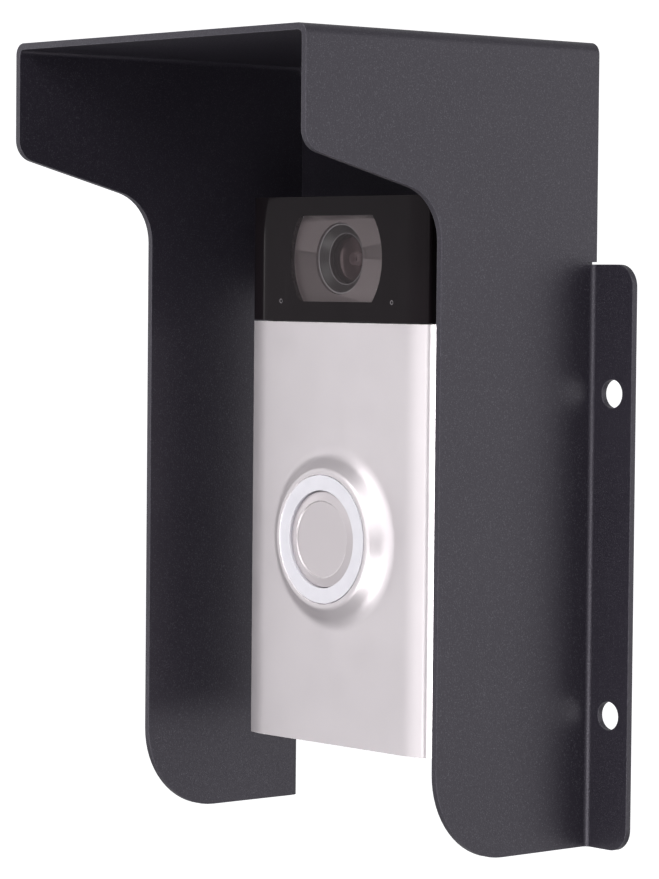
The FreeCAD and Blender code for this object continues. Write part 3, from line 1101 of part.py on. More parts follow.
def battery_leads(plug_x, plug_top):
    """Two round leads from the battery's top, over in a loop and down into the plug.
    Each is one sweep along straight runs with rounded corners."""
    top, radius = value(BATTERY_HIGH), value("lead_radius")
    back, front = value(BATTERY_BACK + " + battery_thick / 2"), value("board_back - plug_thick / 2")
    loop = top + value("lead_rise")
    bend = LEAD_BEND * min(value("lead_rise"), front - back)
    shapes = []
    for side in SIDES:
        across = value(plug_x) + side * value("lead_pitch") / 2
        corners = [Vector(across, -back, top), Vector(across, -back, loop),
                   Vector(across, -front, loop), Vector(across, -front, value(plug_top))]
        shapes.append(rounded_tube(corners, bend, radius))
    leads = doc.addObject("Part::Feature", "battery_leads")
    leads.Label = "battery_leads"
    leads.Shape = Part.makeCompound(shapes)
    leads.Placement = FreeCAD.Placement()
    SUBPARTS.append(leads)


def rounded_tube(corners, bend, radius):
    """A round tube along straight runs, with an arc at each inner corner."""
    edges, here = [], corners[0]
    for before, corner, after in zip(corners, corners[1:], corners[2:]):
        back = (before - corner).normalize()
        ahead = (after - corner).normalize()
        start, end = corner + back * bend, corner + ahead * bend
        middle = corner + (back + ahead).normalize() * bend * (math.sqrt(2) - 1)
        edges.append(Part.LineSegment(here, start).toShape())
        edges.append(Part.Arc(start, middle, end).toShape())
        here = end
    edges.append(Part.LineSegment(here, corners[-1]).toShape())
    first_run = corners[1] - corners[0]
    profile = Part.Wire(Part.Circle(corners[0], first_run, radius).toShape())
    return Part.Wire(edges).makePipeShell([profile], True, False)


def rear_parts():
    """What is reached from behind: charging port, setup button, terminals and the screws."""
    Piece("rear_board").pad("XZ", "rear_board_back", "(rear_board_back + board_thin)", rectangle(
        "-rear_board_width / 2", "rear_board_width / 2",
        REAR_BOARD_LOW, f"{REAR_BOARD_LOW} + rear_board_height"))
    port = Piece("charging_port")
    port.pad("XZ", "(recess_floor + setup_sink)", "rear_board_back",
             box_at("0", USB_Z, "usb_width", "usb_height"))
    port.cut("XZ", "(recess_floor + setup_sink)", "(rear_board_back - usb_tongue)", box_at(
        "0", USB_Z, "(usb_width - 2 * usb_wall)", "(usb_height - 2 * usb_wall)"))
    setup_back = "(recess_floor + setup_sink)"
    setup_front = "(rear_board_back - setup_switch_thick - setup_stroke - press_gap)"
    setup = Piece("setup_button")
    setup.pad("XZ", setup_back, setup_front, circle("setup_x", USB_Z, "setup_radius"))
    setup.pad("XZ", f"({setup_front} - setup_flange_thick)", setup_front,
              circle("setup_x", USB_Z, "setup_flange"))
    Piece("setup_switch").pad("XZ", "(rear_board_back - setup_switch_thick)", "rear_board_back",
                              box_at("setup_x", USB_Z, "setup_switch_size", "setup_switch_size"))
    terminals = [(signed(side, "terminal_x"), TERMINAL_Z) for side in SIDES]
    plates = Piece("terminal_plates")
    plate_back = f"({TERMINAL_FLOOR} - terminal_plate)"
    plates.pad("XZ", plate_back, TERMINAL_FLOOR, *[
        box_at(across, up, "terminal_size", "terminal_size") for across, up in terminals])
    plates.cut("XZ", plate_back, TERMINAL_FLOOR, *[
        circle(across, up, "terminal_screw_radius") for across, up in terminals])
    screws = Piece("terminal_screws")
    screws.pad("XZ", plate_back, "rear_board_back", *[
        circle(across, up, "terminal_screw_radius") for across, up in terminals])
    screws.pad("XZ", f"({plate_back} - terminal_head)", plate_back, *[
        circle(across, up, "terminal_head_radius") for across, up in terminals])
    head_back = f"({plate_back} - terminal_head)"
    screws.cut("XZ", head_back, f"({head_back} + terminal_slot_depth)", *[
        box_at(across, up, "terminal_slot_length", "driver_slot") for across, up in terminals])

    posts = [(signed(side, "post_x"), signed(level, f"{BELL_TOP} - post_inset"))
             for side, level in CORNERS]
    housing = Piece("housing_screws")
    housing.pad("XZ", "recess_floor", "(recess_floor + screw_head)", *[
        circle(across, up, "screw_head_radius") for across, up in posts])
    housing.pad("XZ", "(recess_floor + screw_head)", f"({FLOOR} + screw_length)", *[
        circle(across, up, "screw_radius") for across, up in posts])
    housing.cut("XZ", "recess_floor", "(recess_floor + screw_slot_depth)", *[
        box_at(across, up, "screw_slot_length", "driver_slot") for across, up in posts])
    lock_parts()


def lock_parts():
    """Security screw that comes up through the shelf, and the brass insert it turns in."""
    insert = Piece("security_insert")
    top = f"({SHELF_HIGH} + insert_length)"
    insert.pad("XY", SHELF_HIGH, top, circle("0", "-lock_reach", "insert_radius"))
    insert.cut("XY", SHELF_HIGH, top, circle("0", "-lock_reach", "lock_radius + lock_running"))
    screw = Piece("security_screw")
    screw.pad("XY", SHELF_LOW, f"({SHELF_LOW} + lock_length)",
              circle("0", "-lock_reach", "lock_radius"))
    screw.pad("XY", f"({SHELF_LOW} - lock_head)", SHELF_LOW,
              circle("0", "-lock_reach", "lock_head_radius"))
    screw.cut("XY", f"({SHELF_LOW} - lock_head)", f"({SHELF_LOW} - lock_head + lock_socket_depth)",
              circle("0", "-lock_reach", "lock_socket"))


def check_and_export():
    """Stops if any object failed, then writes each sub-part to its own file."""
    doc.recompute()
    for item in doc.Objects:
        if any(word in item.State for word in ("Invalid", "Error", "Touched")):
            raise RuntimeError(f"{item.Name} failed: {item.State}")
    for part in SUBPARTS:
        shape = part.Shape
        if shape.isNull() or not shape.isValid() or not shape.Solids:
            raise RuntimeError(f"{part.Label} has no valid solid")
    os.makedirs("parts", exist_ok=True)
    for part in SUBPARTS:
        part.Shape.exportStep(f"parts/{part.Label}.step")
        print(f"{part.Label}: {len(part.Shape.Solids)} solid, {part.Shape.Volume:.1f} mm3")


hood()
wall_bracket()
rear_housing()
front_frame()
faceplate()
camera_cover()
camera_optics()
button_parts()
electronics()
rear_parts()
check_and_export()
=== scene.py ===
# %% [markdown]
# # A video doorbell under its rain hood
# The doorbell is a slim box on a wall bracket: a satin metal faceplate below, a gloss black camera cover
# above, and a round button in a low dome. A folded steel hood with two wall flanges keeps the rain off.
# The engineering model is loaded first as a fixed frame. Everything made here sits on it, in metres,
# with the wall at Y = 0, the front towards -Y and +Z up, so nothing has to be fitted by eye.

# %% Load the fixed frame
import bpy
import bmesh
import json
import math
from mathutils import Matrix, Vector

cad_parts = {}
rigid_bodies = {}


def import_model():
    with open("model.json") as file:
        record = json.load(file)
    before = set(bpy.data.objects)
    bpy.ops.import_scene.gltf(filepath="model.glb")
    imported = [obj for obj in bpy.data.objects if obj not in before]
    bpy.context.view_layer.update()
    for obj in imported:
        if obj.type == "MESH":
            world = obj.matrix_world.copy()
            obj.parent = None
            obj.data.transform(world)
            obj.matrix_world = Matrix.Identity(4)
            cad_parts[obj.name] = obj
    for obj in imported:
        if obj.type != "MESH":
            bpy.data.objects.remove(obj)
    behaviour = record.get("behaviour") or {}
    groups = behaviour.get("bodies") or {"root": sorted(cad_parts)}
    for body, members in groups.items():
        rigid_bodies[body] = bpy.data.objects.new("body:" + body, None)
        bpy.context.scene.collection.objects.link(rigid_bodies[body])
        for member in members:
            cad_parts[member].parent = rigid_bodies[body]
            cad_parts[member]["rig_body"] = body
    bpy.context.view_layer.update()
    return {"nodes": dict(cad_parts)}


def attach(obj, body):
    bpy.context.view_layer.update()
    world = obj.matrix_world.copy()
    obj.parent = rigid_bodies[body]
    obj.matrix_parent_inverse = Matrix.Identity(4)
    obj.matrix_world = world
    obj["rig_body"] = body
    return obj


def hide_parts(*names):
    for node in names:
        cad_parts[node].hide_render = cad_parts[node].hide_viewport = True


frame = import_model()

MM = 0.001
nodes = frame["nodes"]

# %% [markdown]
# ## The camera
# A product picture is usually taken with a long lens from well back, so that upright edges stay nearly
# parallel. A camera can be aimed with a constraint, but here its three axes are worked out from a turn,
# a tilt and a small roll. That keeps each number readable, and the shift and the focus blur stay at zero.

# %% Camera
EYE = Vector((0.6248, -0.5700, 0.0432))
TURN, TILT, ROLL = (math.radians(angle) for angle in (49.407, -2.493, 0.534))
SENSOR = 36.0
FOCAL = 146.67

ahead = Vector((-math.sin(TURN) * math.cos(TILT), math.cos(TURN) * math.cos(TILT), math.sin(TILT)))
level = Vector((math.cos(TURN), math.sin(TURN), 0.0))
upright = level.cross(ahead)
right = math.cos(ROLL) * level + math.sin(ROLL) * upright
up = math.cos(ROLL) * upright - math.sin(ROLL) * level

lens_data = bpy.data.cameras.new("studio_camera")
lens_data.sensor_fit = "AUTO"
lens_data.sensor_width = SENSOR
lens_data.lens = FOCAL
lens_data.clip_start = 0.01
lens_data.clip_end = 20.0
camera = bpy.data.objects.new("studio_camera", lens_data)
turned = Matrix((right, up, -ahead)).transposed().to_4x4()
camera.matrix_world = Matrix.Translation(EYE) @ turned
bpy.context.scene.collection.objects.link(camera)
bpy.context.scene.camera = camera
print("camera stands", round(EYE.length, 3), "m from the wall's origin")

# %% [markdown]
# ## The studio
# Dark sheet steel and satin metal both show what is round them, so the room matters as much as the finish.
# A pale sweep, one sheet that runs from the floor up the back in a curve, gives a clean background with no
# horizon line. It could be two planes, but the corner between them would show in the gloss cover.

# %% Floor and backdrop in one sweep
def plain_mesh(name, corners, faces):
    mesh = bpy.data.meshes.new(name)
    mesh.from_pydata(corners, [], faces)
    mesh.update()
    thing = bpy.data.objects.new(name, mesh)
    bpy.context.scene.collection.objects.link(thing)
    return thing


FLOOR_Z = -0.42
SWEEP_BACK = 1.6
SWEEP_ROUND = 0.7
SWEEP_HALF = 4.0
SWEEP_FRONT = -4.0
SWEEP_TOP = 3.0
SWEEP_STEPS = 16
profile = [(SWEEP_FRONT, FLOOR_Z)]
for step in range(SWEEP_STEPS + 1):
    angle = math.radians(90.0 * step / SWEEP_STEPS)
    profile.append((
        SWEEP_BACK - SWEEP_ROUND + SWEEP_ROUND * math.sin(angle),
        FLOOR_Z + SWEEP_ROUND - SWEEP_ROUND * math.cos(angle),
    ))
profile.append((SWEEP_BACK, SWEEP_TOP))
corners = [(side * SWEEP_HALF, y, z) for y, z in profile for side in (-1, 1)]
strips = [(2 * n, 2 * n + 1, 2 * n + 3, 2 * n + 2) for n in range(len(profile) - 1)]
sweep = plain_mesh("studio_sweep", corners, strips)
for strip in sweep.data.polygons:
    strip.use_smooth = True
sweep.visible_diffuse = False
sweep.visible_glossy = False
print("sweep:", len(strips), "strips")

# %% [markdown]
# ## Soft light
# An even sky and five large soft boxes light it. Each box has one job: the key beside the camera brightens
# the dome's right slope, the high one fills the flat front, and the one behind on the right is what the
# dark side panel mirrors. Small lamps would give hard shadows inside the hood, which a soft studio lacks.

# %% Sky and soft boxes
world = bpy.data.worlds.new("studio_sky")
world.use_nodes = True
sky = world.node_tree.nodes["Background"]
sky.inputs["Color"].default_value = (0.985, 0.985, 1.0, 1.0)
sky.inputs["Strength"].default_value = 0.57
bpy.context.scene.world = world
bpy.context.scene.view_settings.view_transform = "Standard"


def soft_box(name, place, size, watts):
    light = bpy.data.lights.new(name, "AREA")
    light.shape = "RECTANGLE"
    light.size, light.size_y = size
    light.energy = watts
    box = bpy.data.objects.new(name, light)
    aim = (-Vector(place)).to_track_quat("-Z", "Y").to_matrix().to_4x4()
    box.matrix_world = Matrix.Translation(place) @ aim
    bpy.context.scene.collection.objects.link(box)
    print(name, "at", place, "with", watts, "W")
    return box


soft_box("key_light", (0.75, -0.80, 0.40), (0.5, 0.6), 3.3)
soft_box("high_light", (0.10, -0.95, 0.65), (0.8, 0.5), 7.3)
soft_box("low_light", (0.30, -0.80, -0.60), (0.8, 0.5), 11.0)
soft_box("left_light", (-1.00, -0.25, 0.10), (0.7, 0.9), 3.5)
soft_box("back_light", (0.95, 0.85, 0.10), (1.0, 1.2), 4.2)

# %% [markdown]
# ## How the finishes are made
# Every finish is a small tree of nodes on one shader: a broad cloud that shifts the colour a little, a fine
# grain that breaks up the gloss and raises the surface, and a mask along the edges for wear; on the satin
# metal that mask also paints a highlight line. Image textures would do too, but they need unwrapping and
# blur up close. Noise that is worked out in the piece's own space needs neither, and it travels with a piece
# that moves.

# %% A finish, one layer at a time
def tone(red, green, blue):
    """A screen colour from 0 to 255 as the linear colour that the shader wants."""
    parts = [level / 255 for level in (red, green, blue)]
    return (*[p / 12.92 if p <= 0.04045 else ((p + 0.055) / 1.055) ** 2.4 for p in parts], 1.0)


class Finish:
    """A node material with helpers that add one layer each."""

    def __init__(self, name, **even):
        self.material = bpy.data.materials.new(name)
        self.material.use_nodes = True
        self.tree = self.material.node_tree
        self.shader = self.tree.nodes["Principled BSDF"]
        self.where = self.add("ShaderNodeTexCoord").outputs["Object"]
        for socket, level in even.items():
            self.shader.inputs[socket.replace("_", " ")].default_value = level

    def add(self, kind, **choices):
        node = self.tree.nodes.new(kind)
        for choice, setting in choices.items():
            setattr(node, choice, setting)
        return node

    def feed(self, socket, source):
        if hasattr(source, "links"):
            self.tree.links.new(source, socket)
        else:
            socket.default_value = source

    def grain(self, size, detail=2.0, stretch=(1, 1, 1)):
        """Noise whose grains are about size millimetres across."""
        place = self.add("ShaderNodeMapping")
        place.inputs["Scale"].default_value = stretch
        self.feed(place.inputs["Vector"], self.where)
        noise = self.add("ShaderNodeTexNoise")
        noise.inputs["Scale"].default_value = 1.0 / (size * MM)
        noise.inputs["Detail"].default_value = detail
        self.feed(noise.inputs["Vector"], place.outputs["Vector"])
        return noise.outputs["Fac"]

    def spread(self, source, low, high, first=0.0, last=1.0):
        """Stretches the part of source between low and high over first to last."""
        node = self.add("ShaderNodeMapRange")
        for name, level in (("From Min", low), ("From Max", high), ("To Min", first), ("To Max", last)):
            node.inputs[name].default_value = level
        self.feed(node.inputs["Value"], source)
        return node.outputs["Result"]

    def times(self, first, second, operation="MULTIPLY"):
        node = self.add("ShaderNodeMath", operation=operation)
        self.feed(node.inputs[0], first)
        self.feed(node.inputs[1], second)
        return node.outputs[0]

    def blend(self, amount, first, second):
        node = self.add("ShaderNodeMix", data_type="RGBA")
        self.feed(node.inputs["Factor"], amount)
        self.feed(node.inputs["A"], first)
        self.feed(node.inputs["B"], second)
        return node.outputs["Result"]

    def relief(self, height, depth, under=None):
        """Raises the surface by up to depth millimetres."""
        node = self.add("ShaderNodeBump")
        node.inputs["Distance"].default_value = depth * MM
        self.feed(node.inputs["Height"], height)
        if under is not None:
            self.feed(node.inputs["Normal"], under)
        return node.outputs["Normal"]

    def edge_mask(self, reach, breakup):
        """1 along sharp edges and 0 elsewhere, broken up by breakup."""
        rounded = self.add("ShaderNodeBevel", samples=4)
        rounded.inputs["Radius"].default_value = reach * MM
        facing = self.add("ShaderNodeNewGeometry").outputs["Normal"]
        across = self.add("ShaderNodeVectorMath", operation="DOT_PRODUCT")
        self.feed(across.inputs[0], rounded.outputs["Normal"])
        self.feed(across.inputs[1], facing)
        edge = self.spread(across.outputs["Value"], 0.995, 0.90)
        return self.times(edge, breakup)

    def wear(self, colour=None, roughness=None, normal=None):
        """Connects the finished layers to the shader."""
        for socket, source in (("Base Color", colour), ("Roughness", roughness), ("Normal", normal)):
            if source is not None:
                self.feed(self.shader.inputs[socket], source)
        return self.material


print("a mid grey of 128 is", round(tone(128, 128, 128)[0], 3), "in linear light")

# %% [markdown]
# ## Sweep paint
# The sweep is matt paper. A little glow of its own lifts it to clean white, the way a separate lamp on a
# background does, and a faint cloud keeps it from being one flat value.

# %% Paint the sweep
paper = Finish("sweep_paper", Emission_Strength=0.55)
paper.feed(paper.shader.inputs["Emission Color"], (1.0, 1.0, 1.0, 1.0))
paper_cloud = paper.grain(120.0)
sweep.data.materials.append(paper.wear(
    colour=paper.blend(paper_cloud, (0.86, 0.86, 0.87, 1.0), (0.92, 0.92, 0.92, 1.0)),
    roughness=paper.spread(paper_cloud, 0.3, 0.7, 0.8, 0.95),
    normal=paper.relief(paper.grain(2.0), 0.02),
))
print("sweep painted")

# %% [markdown]
# ## Powder coat
# The hood is sheet steel with a charcoal powder coat. Powder melts into a skin of fine lumps, about half a
# millimetre across, and each lump catches the light on its own. Two sizes of noise make that skin: one
# for the lumps and one, much larger, for the slow waves of a sprayed panel. Finer pale specks are painted
# into the colour as the lumps' glints, a painted highlight. The edges are rubbed paler.

# %% Powder coat
def powder_coat():
    coat = Finish("powder_coat", Specular_IOR_Level=0.5, Specular_Tint=(1.0, 0.955, 1.06, 1.0))
    lumps = coat.grain(0.45, detail=1.5)
    glint_specks = coat.grain(0.22, detail=0.0)
    cloud = coat.grain(28.0, detail=3.0)
    rubbed = coat.edge_mask(0.35, coat.spread(coat.grain(0.5, detail=3.0), 0.38, 0.66, 0.25, 1.0))
    colour = coat.blend(cloud, (0.0100, 0.0084, 0.0135, 1.0), (0.0145, 0.0122, 0.0185, 1.0))
    # Painted highlight: where the finest noise peaks, pale specks go into the colour as glints off single
    # lumps.
    pale = coat.blend(coat.spread(glint_specks, 0.62, 0.75, 0.0, 0.6), colour, (0.06, 0.058, 0.068, 1.0))
    colour = coat.blend(coat.times(rubbed, 0.35), pale, (0.16, 0.155, 0.18, 1.0))
    gloss = coat.spread(lumps, 0.3, 0.7, 0.36, 0.50)
    skin = coat.relief(lumps, 0.035, coat.relief(cloud, 0.25))
    return coat.wear(colour, gloss, skin)


# %% [markdown]
# ## Satin nickel
# The faceplate is a plastic moulding with a plated, then matted, metal skin. It is half mirror and half
# haze: the metallic amount is below one, so the shaded side keeps some colour. The matting leaves a very
# fine tooth with no direction, so the grain isn't stretched. A brushed finish would need a long stretch.

# %% Satin nickel
def satin_nickel(name, pale, dark, rough):
    metal = Finish(name, Metallic=0.55)
    tooth = metal.grain(0.16, detail=1.0)
    cloud = metal.grain(22.0, detail=3.0)
    handled = metal.spread(metal.grain(7.0, detail=4.0), 0.45, 0.75)
    # Near white along sharp edges: partly polish from handling, partly a painted highlight line along the
    # edges.
    polish_and_highlight = metal.edge_mask(0.25, metal.spread(metal.grain(1.4), 0.42, 0.58))
    colour = metal.blend(cloud, dark, pale)
    colour = metal.blend(metal.times(polish_and_highlight, 0.8), colour, (0.95, 0.94, 0.93, 1.0))
    gloss = metal.times(metal.spread(tooth, 0.3, 0.7, rough - 0.04, rough + 0.05),
                        metal.times(handled, 0.05), "SUBTRACT")
    return metal.wear(colour, gloss, metal.relief(tooth, 0.006, metal.relief(cloud, 0.05)))


# %% [markdown]
# ## Moulded plastics and small metal parts
# Most of the other pieces are mouldings, stampings or screws. They differ in colour, gloss and the size of
# their grain, but they are built up the same way, so one recipe with a few numbers serves them all. The
# numbers are kept in a table, where they can be compared.

# %% One recipe for moulded and stamped pieces
def moulded(name, colour, rough, grain=0.3, depth=0.01, metallic=0.0, worn=0.5, **even):
    part = Finish(name, Metallic=metallic, **even)
    tooth = part.grain(grain, detail=2.0)
    cloud = part.grain(18.0, detail=3.0)
    rubbed = part.edge_mask(0.3, part.spread(part.grain(0.9), 0.45, 0.62))
    dark = tuple(0.82 * level for level in colour)
    pale = tuple(min(1.0, 1.15 * level) for level in colour)
    shine = tuple(min(1.0, 2.2 * level + 0.03) for level in colour)
    tint = part.blend(cloud, (*dark, 1.0), (*pale, 1.0))
    tint = part.blend(part.times(rubbed, worn), tint, (*shine, 1.0))
    gloss = part.spread(tooth, 0.3, 0.7, max(0.03, rough - 0.05), min(1.0, rough + 0.06))
    return part.wear(tint, gloss, part.relief(tooth, depth))


PLAIN_FINISHES = {
    "antenna_film": dict(colour=(0.35, 0.22, 0.06), rough=0.35, metallic=0.8),
    "battery_wrap": dict(colour=(0.12, 0.13, 0.16), rough=0.25, grain=2.0, depth=0.03),
    "bracket_plastic": dict(colour=(0.030, 0.030, 0.032), rough=0.55, grain=0.35, depth=0.02),
    "brass": dict(colour=(0.72, 0.55, 0.25), rough=0.28, metallic=1.0),
    "chip": dict(colour=(0.02, 0.02, 0.024), rough=0.45, grain=0.15),
    "foam": dict(colour=(0.08, 0.08, 0.08), rough=0.95, grain=0.5, depth=0.15, worn=0.1),
    "housing_plastic": dict(colour=(0.020, 0.020, 0.022), rough=0.5, grain=0.3, depth=0.018),
    "lamp": dict(colour=(0.85, 0.84, 0.78), rough=0.2, worn=0.1),
    "lead_insulation": dict(colour=(0.45, 0.03, 0.03), rough=0.4),
    "optics_black": dict(colour=(0.008, 0.008, 0.009), rough=0.6, worn=0.2),
    "plug_plastic": dict(colour=(0.82, 0.81, 0.77), rough=0.45, worn=0.2),
    "ribbon_film": dict(colour=(0.55, 0.28, 0.06), rough=0.3, grain=1.0),
    "seal_rubber": dict(colour=(0.03, 0.03, 0.03), rough=0.8, depth=0.02, worn=0.1),
    "setup_orange": dict(colour=(0.80, 0.22, 0.03), rough=0.4),
    "steel_screw": dict(colour=(0.46, 0.45, 0.44), rough=0.3, metallic=1.0, depth=0.006),
    "switch_plastic": dict(colour=(0.025, 0.025, 0.028), rough=0.45),
    "tin_plate": dict(colour=(0.62, 0.62, 0.60), rough=0.32, metallic=1.0, grain=1.2),
}
finishes = {name: moulded(name, **numbers) for name, numbers in PLAIN_FINISHES.items()}
finishes["powder_coated_steel"] = powder_coat()
finishes["satin_nickel"] = satin_nickel("satin_nickel", tone(195, 189, 192), tone(186, 180, 183), 0.41)
finishes["button_nickel"] = satin_nickel("button_nickel", tone(203, 196, 199), tone(196, 189, 192), 0.42)
print(len(finishes), "finishes made so far")

# %% [markdown]
# ## Gloss cover
# The camera cover is black gloss plastic, like piano lacquer. A perfect mirror looks like glass, so it has
# the faint waviness of a moulding and a few hair scratches. A scratch is noise stretched in one
# direction until it is a thread. The gloss comes from a low roughness, not from a paler colour.

# %% Gloss cover
def gloss_cover():
    lacquer = Finish("gloss_cover", Specular_IOR_Level=0.19, Specular_Tint=(1.0, 0.93, 0.97, 1.0))
    wave = lacquer.grain(9.0, detail=1.0)
    scratch = lacquer.spread(lacquer.grain(0.5, stretch=(1.0, 1.0, 0.04)), 0.66, 0.72)
    chipped = lacquer.edge_mask(0.18, lacquer.spread(lacquer.grain(0.4, detail=3.0), 0.40, 0.65))
    colour = lacquer.blend(wave, (0.0060, 0.0044, 0.0052, 1.0), (0.0090, 0.0066, 0.0080, 1.0))
    colour = lacquer.blend(lacquer.times(chipped, 0.3), colour, (0.10, 0.095, 0.10, 1.0))
    gloss = lacquer.times(lacquer.times(scratch, 0.15), 0.10, "ADD")
    return lacquer.wear(colour, gloss, lacquer.relief(wave, 0.012))


finishes["gloss_cover"] = gloss_cover()

# %% [markdown]
# ## Camera window and lens
# Behind a flat clear window lies a grey plate, and in it a black bezel that funnels down to a small domed
# lens. A thin pane hardly bends light, so the window is made see-through by its alpha, with a reflection
# and a trace of haze on top. The thick lens does bend light, so it is real glass with a reddish coating.

# %% Glass and optics
def thin_pane(name, tint, haze, rough, sheen=0.5, **even):
    """A pane that shows what lies behind it straight, with a reflection and a little haze on top."""
    glass = Finish(name, Specular_IOR_Level=sheen, Alpha=haze, **even)
    smear = glass.grain(6.0, detail=4.0)
    film = glass.grain(14.0, detail=1.0)
    pale = tuple(min(1.0, 1.15 * level) for level in tint)
    return glass.wear(
        glass.blend(film, (*tint, 1.0), (*pale, 1.0)),
        glass.spread(smear, 0.4, 0.8, rough, rough + 0.06),
        glass.relief(smear, 0.002),
    )


def coated_lens():
    """Thick dark glass whose reflection has a reddish tint."""
    glass = Finish("lens_glass", Transmission_Weight=1.0, IOR=1.42, Specular_Tint=(1.0, 0.50, 0.54, 1.0))
    cloud = glass.grain(2.5)
    return glass.wear(
        glass.blend(cloud, (0.27, 0.235, 0.24, 1.0), (0.32, 0.28, 0.29, 1.0)),
        glass.spread(cloud, 0.3, 0.7, 0.0, 0.02),
        glass.relief(cloud, 0.001),
    )


finishes["window_glass"] = thin_pane("window_glass", (0.10, 0.085, 0.09), 0.14, 0.04)
finishes["lens_glass"] = coated_lens()
finishes["filter_glass"] = thin_pane("filter_glass", (0.03, 0.05, 0.08), 0.6, 0.05)
finishes["lens_plate"] = moulded("lens_plate", (0.19, 0.157, 0.162), 0.40, grain=0.25, depth=0.008,
                                 metallic=0.3, worn=0.3)
finishes["lens_bezel"] = moulded("lens_bezel", (0.020, 0.017, 0.018), 0.42, grain=0.2, depth=0.004,
                                 worn=0.6, Specular_IOR_Level=0.35)
print("optics finished")

# %% [markdown]
# ## Light ring
# The ring round the button is a milky light guide. Milky plastic lets light sink in and come out nearby,
# which the shader's subsurface amount does. A plain white would look like paint beside the metal.

# %% Light ring
def light_guide():
    milk = Finish("light_ring", Subsurface_Weight=0.35, Subsurface_Scale=0.002, Coat_Weight=0.15)
    milk.shader.inputs["Subsurface Radius"].default_value = (1.0, 1.0, 1.0)
    cloud = milk.grain(3.0, detail=3.0)
    return milk.wear(
        milk.blend(cloud, (0.63, 0.615, 0.66, 1.0), (0.70, 0.685, 0.73, 1.0)),
        milk.spread(milk.grain(0.3), 0.3, 0.7, 0.28, 0.38),
        milk.relief(cloud, 0.01),
    )


finishes["light_ring"] = light_guide()

# %% [markdown]
# ## Boards and sound mesh
# The circuit boards show when a cover is off. Their copper tracks are a grid of cells under green lacquer,
# a little paler and a little raised. The dust meshes are woven wire, made with two crossed waves.

# %% Circuit board and woven mesh
def circuit_board():
    board = Finish("circuit_board", Coat_Weight=0.3)
    cells = board.add("ShaderNodeTexVoronoi", distance="CHEBYCHEV", feature="DISTANCE_TO_EDGE")
    cells.inputs["Scale"].default_value = 420.0
    board.feed(cells.inputs["Vector"], board.where)
    track = board.spread(cells.outputs["Distance"], 0.05, 0.09)
    speck = board.spread(board.grain(0.8), 0.60, 0.66)
    colour = board.blend(track, (0.035, 0.16, 0.08, 1.0), (0.016, 0.085, 0.042, 1.0))
    colour = board.blend(speck, colour, (0.5, 0.4, 0.2, 1.0))
    return board.wear(colour, board.spread(board.grain(0.4), 0.3, 0.7, 0.28, 0.42),
                      board.relief(track, 0.03))


def woven_wire():
    wire = Finish("steel_mesh", Metallic=0.9)
    bands = []
    for direction in ("X", "Z"):
        band = wire.add("ShaderNodeTexWave", bands_direction=direction)
        band.inputs["Scale"].default_value = 1200.0
        wire.feed(band.inputs["Vector"], wire.where)
        bands.append(band.outputs["Fac"])
    crossed = wire.times(*bands, "MAXIMUM")
    return wire.wear(wire.blend(crossed, (0.04, 0.04, 0.04, 1.0), (0.50, 0.49, 0.47, 1.0)),
                     wire.spread(crossed, 0.0, 1.0, 0.7, 0.3), wire.relief(crossed, 0.05))


finishes["circuit_board"] = circuit_board()
finishes["steel_mesh"] = woven_wire()

# %% Put each finish on its nodes
slot_of = {}
for name, node in nodes.items():
    for place in node.material_slots:
        slot_of[name] = place.material.name.split(".")[0]
        place.material = finishes["button_nickel" if name == "button_cap" else slot_of[name]]
print(len(nodes), "nodes finished")

# %% [markdown]
# ## Eased edges
# No real edge is razor sharp: sheet steel is cut, tumbled and coated, and plastic is moulded in a tool
# with small radii. The engineering model leaves its edges square, so the pieces that show are copied, their
# flat faces are joined into single ones, and a small bevel rounds every edge. The thin bright line that a
# bevel catches is what makes an edge look solid. A shader trick could fake it, but not in the outline.

# %% Ease the edges of the pieces that show
EASED = {
    "hood": 0.30,
    "faceplate": 0.18,
    "camera_cover": 0.18,
    "rear_housing": 0.25,
    "wall_bracket": 0.25,
    "button_cap": 0.10,
    "light_ring": 0.08,
    "lens_bezel": 0.08,
    "camera_window": 0.08,
}


WELD = 1e-6
SAME_PLANE = math.radians(0.4)
SHARP = math.radians(35)
BEVEL_STEPS = 2


def eased(name, width):
    """Copies a node's mesh, joins its flat faces and rounds its sharp edges by width millimetres."""
    node = nodes[name]
    mesh = bpy.data.meshes.new(f"{name}_eased")
    made = bmesh.new()
    made.from_mesh(node.data)
    bmesh.ops.remove_doubles(made, verts=made.verts, dist=WELD)
    bmesh.ops.dissolve_limit(made, angle_limit=SAME_PLANE, verts=made.verts, edges=made.edges,
                             delimit=set())
    made.normal_update()
    made.to_mesh(mesh)
    made.free()
    if "custom_normal" in mesh.attributes:
        mesh.attributes.remove(mesh.attributes["custom_normal"])
    mesh.materials.clear()
    mesh.materials.append(node.material_slots[0].material)
    for face in mesh.polygons:
        face.use_smooth = True
        face.material_index = 0
    piece = bpy.data.objects.new(f"{name}_eased", mesh)
    bpy.context.scene.collection.objects.link(piece)
    bevel = piece.modifiers.new("eased_edges", "BEVEL")
    bevel.width = width * MM
    bevel.segments = BEVEL_STEPS
    bevel.limit_method = "ANGLE"
    bevel.angle_limit = SHARP
    bevel.use_clamp_overlap = True
    bevel.harden_normals = False
    flat = piece.modifiers.new("flat_faces", "WEIGHTED_NORMAL")
    flat.keep_sharp = False
    flat.weight = 90
    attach(piece, node["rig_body"])
    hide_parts(name)
    return piece


for name, width in EASED.items():
    piece = eased(name, width)
    print(piece.name, len(piece.data.polygons), "faces before its bevel")

# %% [markdown]
# ## Small turned rims
# Deep in the lens a small pale ring shows, the front rim of the glass group behind it. The bezel and the
# microphone ports have thin bright rims too. Each is turned from a short profile about its own axis. A flat
# disc would be simpler, but it would not catch light on an inner slope.

# %% Turned rims of the lens and the ports
LENS_Z = 48.95
PORT_X, PORT_Z = 19.5, 39.05
PORT_OUTLINE = [(0.36, -33.10), (0.36, -33.26), (0.53, -33.26), (0.53, -33.10)]
TURN_STEPS = 48
CREASE = math.radians(30)


